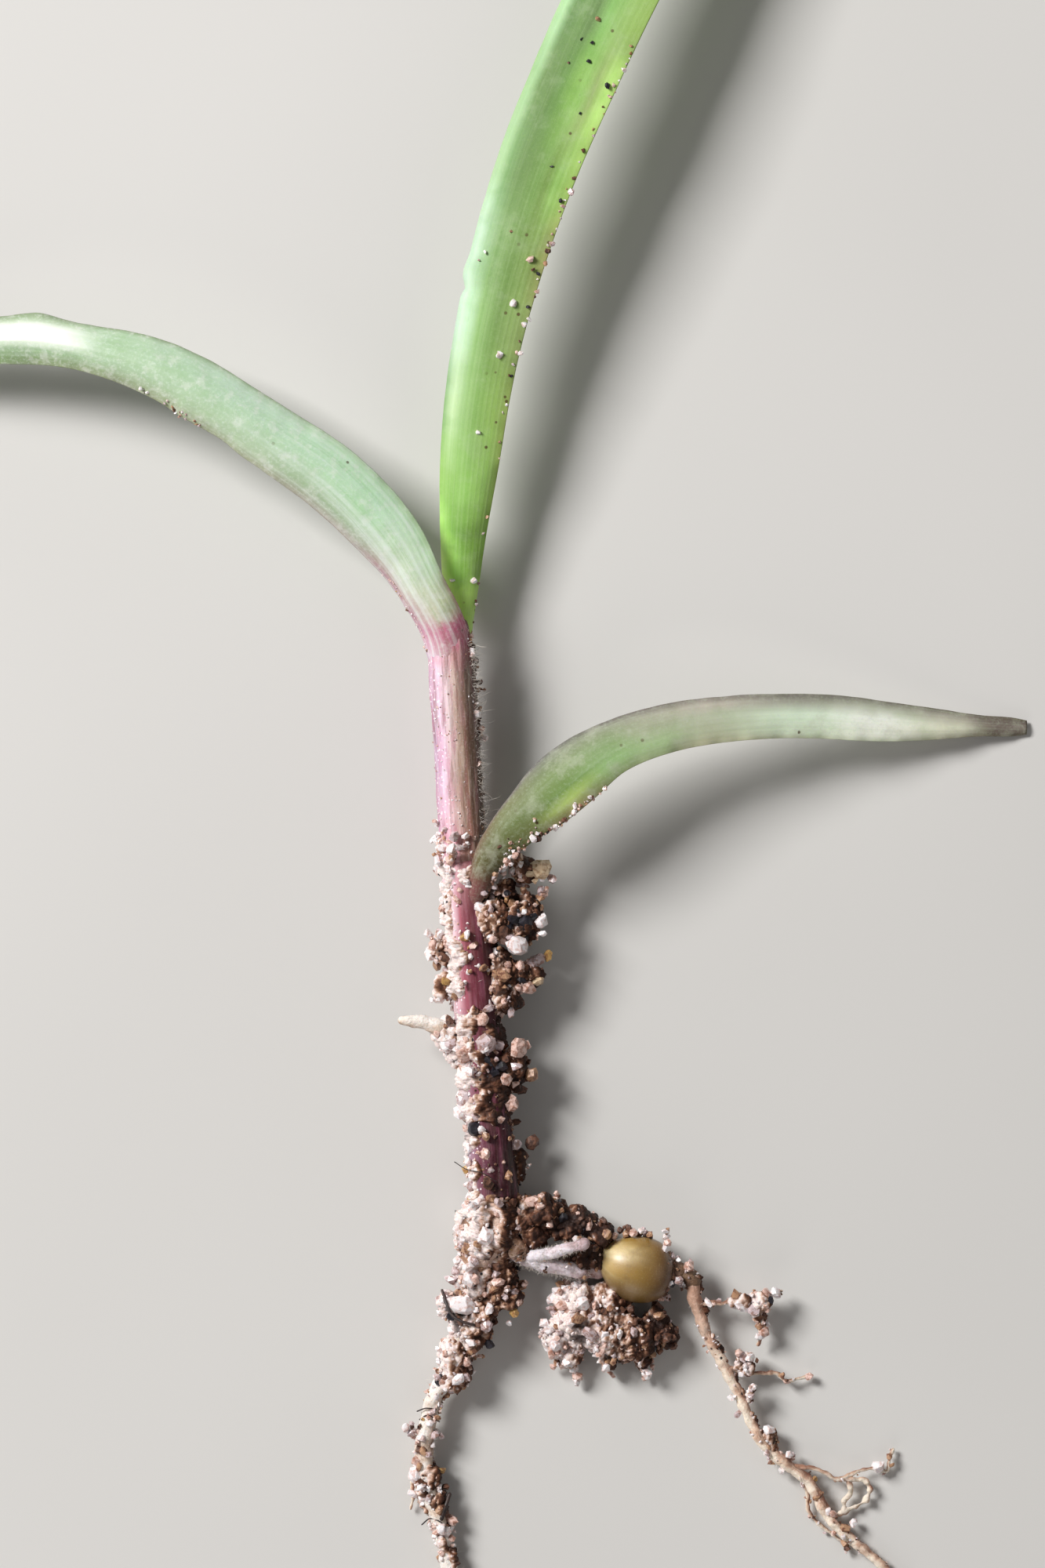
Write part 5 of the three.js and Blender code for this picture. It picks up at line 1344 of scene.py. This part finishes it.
def add_roots():
    looks = {
        "root": root_look("cream_root", (0.95, 0.88, 0.82), (0.76, 0.6, 0.48), (0.34, 0.19, 0.13),
                          0.35, 0.08),
        "seed_root": root_look("tan_root", (0.98, 0.84, 0.7), (0.68, 0.45, 0.33), (0.28, 0.12, 0.075),
                               0.25, 0.15, 0.8),
        "white_root": root_look("white_root", (0.94, 0.86, 0.92), (0.74, 0.58, 0.62), (0.34, 0.2, 0.19), 0.3),
        "crown": root_look("crown", (0.78, 0.56, 0.46), (0.46, 0.26, 0.16), (0.13, 0.06, 0.035), 0.5, 0.2),
        "seed_root_sheath": root_look("seed_root_sheath", (0.24, 0.14, 0.08), (0.12, 0.06, 0.035),
                                      (0.05, 0.025, 0.015), 0.3),
    }

    def lumps(coarse, fine, size=0.5):
        return lambda points, s, a: coarse * unevenness(points, size) + fine * unevenness(points, 0.12, 7.0)

    rows = [  # the limb, its sides, steps and lumps, its look and slot, and the nodes that it replaces
        ("crown", 96, 200, lumps(0.06, 0.015), "crown", "crown", ["crown"]),
        ("crown_hook", 56, 100, lumps(0.06, 0.015), "crown", "crown", ["crown"]),
        ("main_root", 28, 520, lumps(0.04, 0.012, 0.4), "root", "root",
         ["main_root_upper", "main_root_lower"]),
        ("seed_root", 24, 520, lumps(0.04, 0.012, 0.35), "seed_root", "root",
         ["seed_root_upper", "seed_root_lower"]),
        ("mesocotyl", 32, 120, lumps(0.04, 0.015, 0.4), "white_root", "white_root", ["mesocotyl"]),
        ("white_root_stub", 28, 90, lumps(0.03, 0.012, 0.3), "white_root", "white_root", ["white_root_stub"]),
        ("root_spur", 28, 90, lumps(0.03, 0.01, 0.3), "root", "root", ["root_spur"]),
        ("seed_root_sheath", 32, 50, lumps(0.05, 0.02, 0.2), "seed_root_sheath", "seed_root_sheath",
         ["seed_root_sheath"]),
    ]
    for name, sides, steps, relief, look, slot, nodes in rows:
        piece = add_piece(name, *tube(*LIMBS[name], sides, steps, relief), [looks[look]])
        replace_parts(piece, *nodes)
    radius = profile((0, ROOTLET["head"]), (1, ROOTLET["tip"]))
    for i, route in enumerate(ROOTLETS):
        rootlet = tube(route, radius, 12, 120, lumps(0.02, 0.008, 0.15))
        piece = add_piece(f"rootlet_{i + 1}", *rootlet, [looks["seed_root"]])
        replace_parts(piece, f"rootlet_{i + 1}")


def add_pile(name, seed, dim, heap):
    """A pile of the large grains and spikes of that name, with what heap(pile) spreads round them."""
    pile = Pile(seed, dim)
    for x, y, z, radius, kind in LARGE_GRAINS.get(name, []):
        pile.place(np.array([x, y, z]), radius, kind=kind)
    for start, end, radius in SPIKES.get(name, []):
        pile.spike(start, end, radius)
    heap(pile)
    pile.add(name + "_grains")


def add_clump(name, eggs, count, dim, slope, seed):
    middle = np.mean([place[0] for place, _ in eggs])

    # The sand gets dimmer by slope for each millimetre towards +X, away from the light: painted shade.
    def dim_at(x):
        return dim + slope * (x - middle)

    core, *skin = add_core(name, eggs, lambda x: 0.5 - dim_at(x))

    def heap(pile):
        reach = in_eggs(eggs, GRAIN_REACH)
        spots = crust_spots(pile.random, *skin)
        pile.spread(spots, int(count * 0.45), 0, reach, sink=-0.2)
        pile.spread(spots, int(count * 0.4), 0.6, reach)
        pile.spread(spots, int(count * 0.5), 0.2, reach, FINE_GRAINS, 0)

    add_pile(name, seed, dim_at, heap)
    return core


def add_clumps():
    for i, (name, (eggs, lobes, count, dim, slope)) in enumerate(CLUMPS.items()):
        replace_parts(add_clump(name, eggs + lobes, count, dim, slope, 50 + i), name)
    add_clump("sand_round_spur", SPUR_SAND, 22, -0.4, 0.3, 60)
    add_clump("sand_on_rootlets", ROOTLET_SAND, 60, -0.15, 0, 61)
    add_clump("sand_low_on_main_root", LOW_ROOT_SAND, 30, 0.3, 0.3, 62)


def add_stem_sand():
    bare = [((-0.42, 8.3), (0.22, 0.65)), ((-0.12, 6.1), (0.26, 0.65)), ((0.32, 1.5), (0.36, 0.55)),
            ((0.5, 0.6), (0.36, 0.38))]

    def window(place):
        """From 0 to 1 where the sheath shows through."""
        near = [np.hypot((place[..., 0] - x) / rx, (place[..., 1] - y) / ry) for (x, y), (rx, ry) in bare]
        return np.where(place[..., 2] > 1.2, 1 - fade(np.min(near, axis=0), 0.7, 1.1), 0)

    def lower_cover(points, s, out_x):
        y = points[..., 1]
        middle = fade(y, 2.0, 2.6) * (1 - fade(y, 5.0, 5.6))
        left = fade(-out_x, 0.35, 0.8) * (1 - fade(y, 8.9, 9.6))
        above = 0.2 * fade(y, 5.4, 5.9) + 0.3 * fade(y, 8.8, 9.1)
        return 0.7 * middle + above + 0.5 * left - 1.2 * window(points) - 0.15 - fade(y, 9.5, 9.9)

    def upper_cover(points, s, out_x):
        return 0.8 * fade(out_x, 0.78, 0.97) * (1 - fade(points[..., 1], 15.8, 16.2)) - 0.65

    # Paler towards -X, where the light falls: painted light; darker round the dark flake near (0.3, 3.8).
    def lower_paleness_and_light(x, y):
        flake = np.exp(-((x - 0.3) ** 2 + (y - 3.8) ** 2) / 0.3)
        return 0.9 * fade(-x, -0.2, 0.8) - 0.5 * flake

    add_crust("lower_sheath", lower_cover, lower_paleness_and_light)
    add_crust("upper_sheath", upper_cover, lambda x, y: same(0.1)(x), thickness=0)

    def thick(place, share, angle):
        patch = 0.25 + 0.75 * fade(noise.noise(Vector(place) * 1.3), -0.2, 0.2)
        return patch * (1 - 0.75 * window(place)) * (1 - 0.5 * fade(math.cos(angle), 0.0, 0.7))

    def lower(pile):
        spots = skin_spots(pile.random, *LIMBS["lower_sheath"], 0.0, 0.95, thick=thick)
        pile.spread(spots, 190, 0.0, sink=-0.1)
        pile.spread(spots, 160, 0.7)
        pile.spread(spots, 320, 0.1, sizes=FINE_GRAINS)

    def upper(pile):
        left = skin_spots(pile.random, *LIMBS["upper_sheath"], 0.02, 0.3, (2.0, 4.2),
                          lambda place, share, angle: 1 - fade(share, 0.08, 0.26) * 0.85)
        right = skin_spots(pile.random, *LIMBS["upper_sheath"], 0.05, 1.0, (-0.4, 0.6))
        everywhere = skin_spots(pile.random, *LIMBS["upper_sheath"], 0.05, 0.95, (0.5, 3.6))
        front = skin_spots(pile.random, *LIMBS["upper_sheath"], 0.0, 0.16, (0.9, 4.0))
        pile.spread(left, 60, 0.4, sizes=(0.05, 0.15))
        pile.spread(front, 45, 0.4, sizes=(0.06, 0.17))
        pile.spread(right, 85, 0.5, sizes=(0.045, 0.14))
        pile.spread(everywhere, 120, 0, sizes=(0.025, 0.045))

    # The sheath's grains get dimmer towards +X, away from the light: painted shade.
    add_pile("sand_on_lower_sheath", 70, lambda x: 0.12 + 0.3 * x, lower)
    add_pile("sand_on_upper_sheath", 71, same(-0.35), upper)


def add_root_sand():
    def main_cover(points, s, out_x):
        y = points[..., 1]
        below = (1 - fade(y, -7.9, -7.4)) * (0.5 + 0.5 * fade(y, -9.6, -9.0))
        return 0.5 * fade(y, -5.2, -4.6) + 0.75 * below + 0.15 * out_x - 0.35

    def main_paleness(x, y):
        return 0.9 * fade(y, -7.8, -7.2) + 0.6 * fade(-y, 9.0, 9.6) - 0.05

    add_crust("main_root", main_cover, main_paleness, 44, 700, 0.07)
    add_crust("seed_root", lambda points, s, out_x: 0.4 * out_x - 0.25,
              lambda x, y: same(0.4)(x), 36, 700, 0.0)
    # The crown's crust is paler towards -X, where the light falls: painted light.
    add_crust("crown", lambda points, s, out_x: 0.2 * np.abs(out_x) + 0.4,
              lambda x, y: 0.2 + 0.8 * fade(-x, -0.6, 0.5), 80, 160, 0.08)
    add_crust("crown_hook", lambda points, s, out_x: 0.6 - fade(s, 0.8, 0.95),
              lambda x, y: same(0.3)(x), 56, 100, 0.06)

    def patchy(place, share, angle):
        return 0.2 + 0.8 * fade(noise.noise(Vector(place) * 0.9), -0.12, 0.2)

    def crown(pile):
        def thick(place, share, angle):
            return 0.15 + 0.85 * fade(-math.cos(angle), 0.1, 0.6)

        spots = skin_spots(pile.random, *LIMBS["crown"], -0.1, 1.0, thick=thick)
        pile.spread(spots, 70, 0.15)
        pile.spread(spots, 90, 0, sizes=FINE_GRAINS)
        spots = skin_spots(pile.random, *LIMBS["crown_hook"], 0.0, 1.0, (0.3, 2.8))
        pile.spread(spots, 40, 0, sizes=(0.045, 0.11), sink=0)
        pile.spread(spots, 50, 0, sizes=DUST)

    def main(pile):
        spots = skin_spots(pile.random, *LIMBS["main_root"], 0.0, 0.22)
        pile.spread(spots, 90, 0.3)
        spots = skin_spots(pile.random, *LIMBS["main_root"], 0.2, 0.99, thick=patchy)
        pile.spread(spots, 280, 0.3, sizes=(0.06, 0.17))
        pile.spread(spots, 160, 0.1, sizes=FINE_GRAINS)

    def thin(pile):
        spots = skin_spots(pile.random, *LIMBS["seed_root"], 0.0, 0.99, thick=patchy)
        pile.spread(spots, 60, 0.3, sizes=(0.05, 0.12))
        pile.spread(spots, 90, 0.1, sizes=DUST)
        for route, count in zip(ROOTLETS, (26, 8, 12, 10, 0)):
            spots = skin_spots(pile.random, route, same(ROOTLET["head"]), 0.2, 1.0)
            pile.spread(spots, count, 0.3, sizes=(0.04, 0.09))

    def seed(pile):
        eggs = [(SEED["centre"], (SEED["length"] / 2, SEED["width"] / 2, SEED["thickness"] / 2))]

        def rim(place):
            return (place[2] < 1.0 and place[0] > 3.4) or place[0] > 5.1 or place[2] < 0.6

        pile.spread(egg_spots(pile.random, eggs), 110, 0.3, rim, (0.05, 0.12))

    def small(pile):
        for name, radius, end, count, climb, sizes in (
                ("mesocotyl", same(MESOCOTYL_RADIUS), 1.0, 30, 0.1, (0.04, 0.09)),
                ("white_root_stub", same(STUB_RADIUS), 1.0, 8, 0.1, (0.04, 0.09)),
                ("seed_root_sheath", same(0.3), 1.0, 40, 0.2, (0.05, 0.12)),
                ("root_spur", profile((0, 0.34), (1, 0.1)), 0.5, 20, 0.2, COMMON_GRAINS)):
            spots = skin_spots(pile.random, LIMBS[name][0], radius, 0.0, end)
            pile.spread(spots, count, climb, sizes=sizes)

    # The crown's grains get dimmer towards +X, away from the light: painted shade.
    add_pile("sand_on_crown", 80, lambda x: -0.05 + 0.5 * x, crown)
    add_pile("sand_down_main_root", 81, same(-0.15), main)
    add_pile("sand_on_seed_root", 82, same(0.0), thin)
    add_pile("sand_round_seed", 83, same(0.25), seed)
    add_pile("sand_on_small_roots", 84, same(0.1), small)


def add_leaf_sand():
    pile = Pile(90, same(0.05))
    for leaf, shares, spans, count, climb, sizes in (
            (FIRST_LEAF, (0.03, 0.3), (0.86, 1.0), 80, 0.35, (0.04, 0.12)),
            (FIRST_LEAF, (0.05, 0.2), (0.2, 1.0), 12, 0, (0.03, 0.07)),
            (SECOND_LEAF, (0.38, 0.46), (-1.0, -0.8), 18, 0.3, (0.04, 0.08)),
            (SECOND_LEAF, (0.02, 0.13), (-1.0, -0.7), 26, 0, DUST),
            (THIRD_LEAF, (0.2, 0.44), (0.88, 1.0), 50, 0.2, (0.04, 0.09)),
            (THIRD_LEAF, (0.03, 0.2), (0.8, 1.0), 10, 0, (0.04, 0.07))):
        pile.spread(leaf_spots(pile.random, leaf, shares, spans), count, climb, sizes=sizes)
    points, out = THIRD_LEAF.surface(np.linspace(0, 0.6, 300), np.linspace(-1, 1, 41))
    for x, y, radius, kind in THIRD_LEAF_GRAINS:
        away = np.hypot(points[..., 0] - x, points[..., 1] - y)
        i, j = np.unravel_index(away.argmin(), away.shape)
        pile.place(points[i, j] + out[i, j] * (BLADE["middle"] / 2 + 0.3 * radius), radius, kind=kind)
    pile.add("sand_on_leaves")


LOWEST_HAIR = 0.015  # above the floor
HAIR_FACES = [  # three rings of three corners, then the point
    [0, 1, 4, 3], [1, 2, 5, 4], [2, 0, 3, 5], [3, 4, 7, 6], [4, 5, 8, 7], [5, 3, 6, 8],
    [6, 7, 9], [7, 8, 9], [8, 6, 9], [0, 2, 1]]


def hairs(random, *bunches):
    """Fine hairs that taper to a point, each a bent three-sided spike: their points and faces. A bunch is
    where they stand, how many there are, their length and radius, and how much they bend."""
    parts = []
    for spots, count, length, radius, bend in bunches:
        roots, ways = (np.array(part) for part in zip(*[spots() for _ in range(count)]))
        ways = unit(ways + 0.45 * random.normal(size=ways.shape))
        sideways = unit(np.cross(ways, unit(random.normal(size=ways.shape))))
        lengths = length * random.uniform(0.5, 1.2, count)[:, None]
        rings = []
        for t in (0, 0.35, 0.7):
            middle = roots + ways * lengths * (t - 0.05) + sideways * lengths * bend * t * t
            for corner in range(3):
                angle = corner * TURN / 3
                side = math.cos(angle) * sideways + math.sin(angle) * np.cross(ways, sideways)
                rings.append(middle + side * radius * (1 - 0.8 * t))
        rings.append(roots + ways * lengths * 0.95 + sideways * lengths * bend)
        points = np.stack(rings, 1)
        points[..., 2] = np.maximum(points[..., 2], LOWEST_HAIR)
        corners = len(rings)
        faces = [[corner + corners * i for corner in face] for i in range(count) for face in HAIR_FACES]
        parts.append((points.reshape(-1, 3), faces, {}))
    return joined(parts)[:2]


def add_hairs():
    random = np.random.default_rng(95)
    margin = skin_spots(random, *LIMBS["upper_sheath"], 0.05, 0.95, (0.0, 0.7))
    lower = skin_spots(random, *LIMBS["lower_sheath"], 0.05, 0.98)
    white = skin_spots(random, LIMBS["mesocotyl"][0], same(MESOCOTYL_RADIUS), 0.1, 0.9)
    stub = skin_spots(random, *LIMBS["white_root_stub"], 0.1, 1.0)
    main = skin_spots(random, *LIMBS["main_root"], 0.1, 0.98)
    thin = skin_spots(random, *LIMBS["seed_root"], 0.02, 0.98)
    fringe = hairs(random, (margin, 420, 0.3, 0.009, 0.4), (margin, 60, 0.6, 0.008, 0.5))
    piece = add_piece("sheath_hairs", *fringe, {}, [HAIR_LOOK])
    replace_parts(piece, "hairy_sheath_margin")
    fuzz = hairs(random, (lower, 150, 0.22, 0.008, 0.4), (white, 900, 0.14, 0.006, 0.6),
                 (stub, 400, 0.12, 0.006, 0.6), (main, 260, 0.3, 0.007, 0.8), (thin, 200, 0.22, 0.006, 0.8))
    piece = add_piece("root_hairs", *fuzz, {}, [HAIR_LOOK])


def add_fibres():
    """Dark threads caught on the main root, and the thin loops by the seed root."""
    dark = [  # radius and route
        (0.02, Route((-1.98, -6.1, 0.75), (-1.72, -6.0, 0.93), (-1.45, -6.04, 0.85), (-1.38, -6.1, 0.6))),
        (0.022, Route((-1.91, -6.35, 0.6), (-1.66, -6.2, 0.95), (-1.35, -6.4, 0.75))),
        (0.06, Route((-1.05, -8.5, 0.62), (-1.15, -8.8, 0.72), (-1.28, -9.2, 0.66))),
        (0.04, Route((-1.26, -2.6, 1.15), (-1.14, -2.95, 1.36), (-0.98, -3.28, 1.46), (-0.7, -3.46, 1.55),
                     (-0.35, -3.56, 1.55))),
        (0.014, Route((-0.9, 1.1, 1.5), (-0.55, 0.9, 1.78), (-0.1, 0.8, 1.9), (0.3, 0.55, 1.85))),
        (0.02, Route((-1.85, -9.4, 0.3), (-1.6, -9.2, 0.55), (-1.3, -9.3, 0.68), (-1.05, -9.6, 0.5))),
    ]
    threads = [tube(route, same(radius), 8, 40) for radius, route in dark]
    piece = add_piece("dark_fibres", *joined(threads), [THREAD_LOOK])
    loops = [
        Route((10.06, -8.08, 0.44), (10.46, -8.1, 0.4), (10.87, -8.12, 0.34), (11.06, -8.44, 0.28),
              (10.89, -8.73, 0.24), (10.53, -8.93, 0.24), (10.2, -9.1, 0.28)),
        Route((10.4, -8.1, 0.4), (10.49, -8.44, 0.32), (10.3, -8.73, 0.26), (10.3, -9.02, 0.26)),
        Route((7.85, -3.0, 0.68), (7.9, -3.4, 0.58), (7.9, -3.8, 0.5), (7.82, -4.2, 0.42)),
    ]
    threads = [tube(route, same(0.07), 12, 90, lambda p, s, a: 0.05 * unevenness(p, 0.16)) for route in loops]
    piece = add_piece("thin_root_loops", *joined(threads), [bpy.data.materials["tan_root"]])


add_stage()
add_leaves()
add_sheaths()
add_seed()
add_roots()
add_clumps()
add_stem_sand()
add_root_sand()
add_leaf_sand()
add_hairs()
add_fibres()
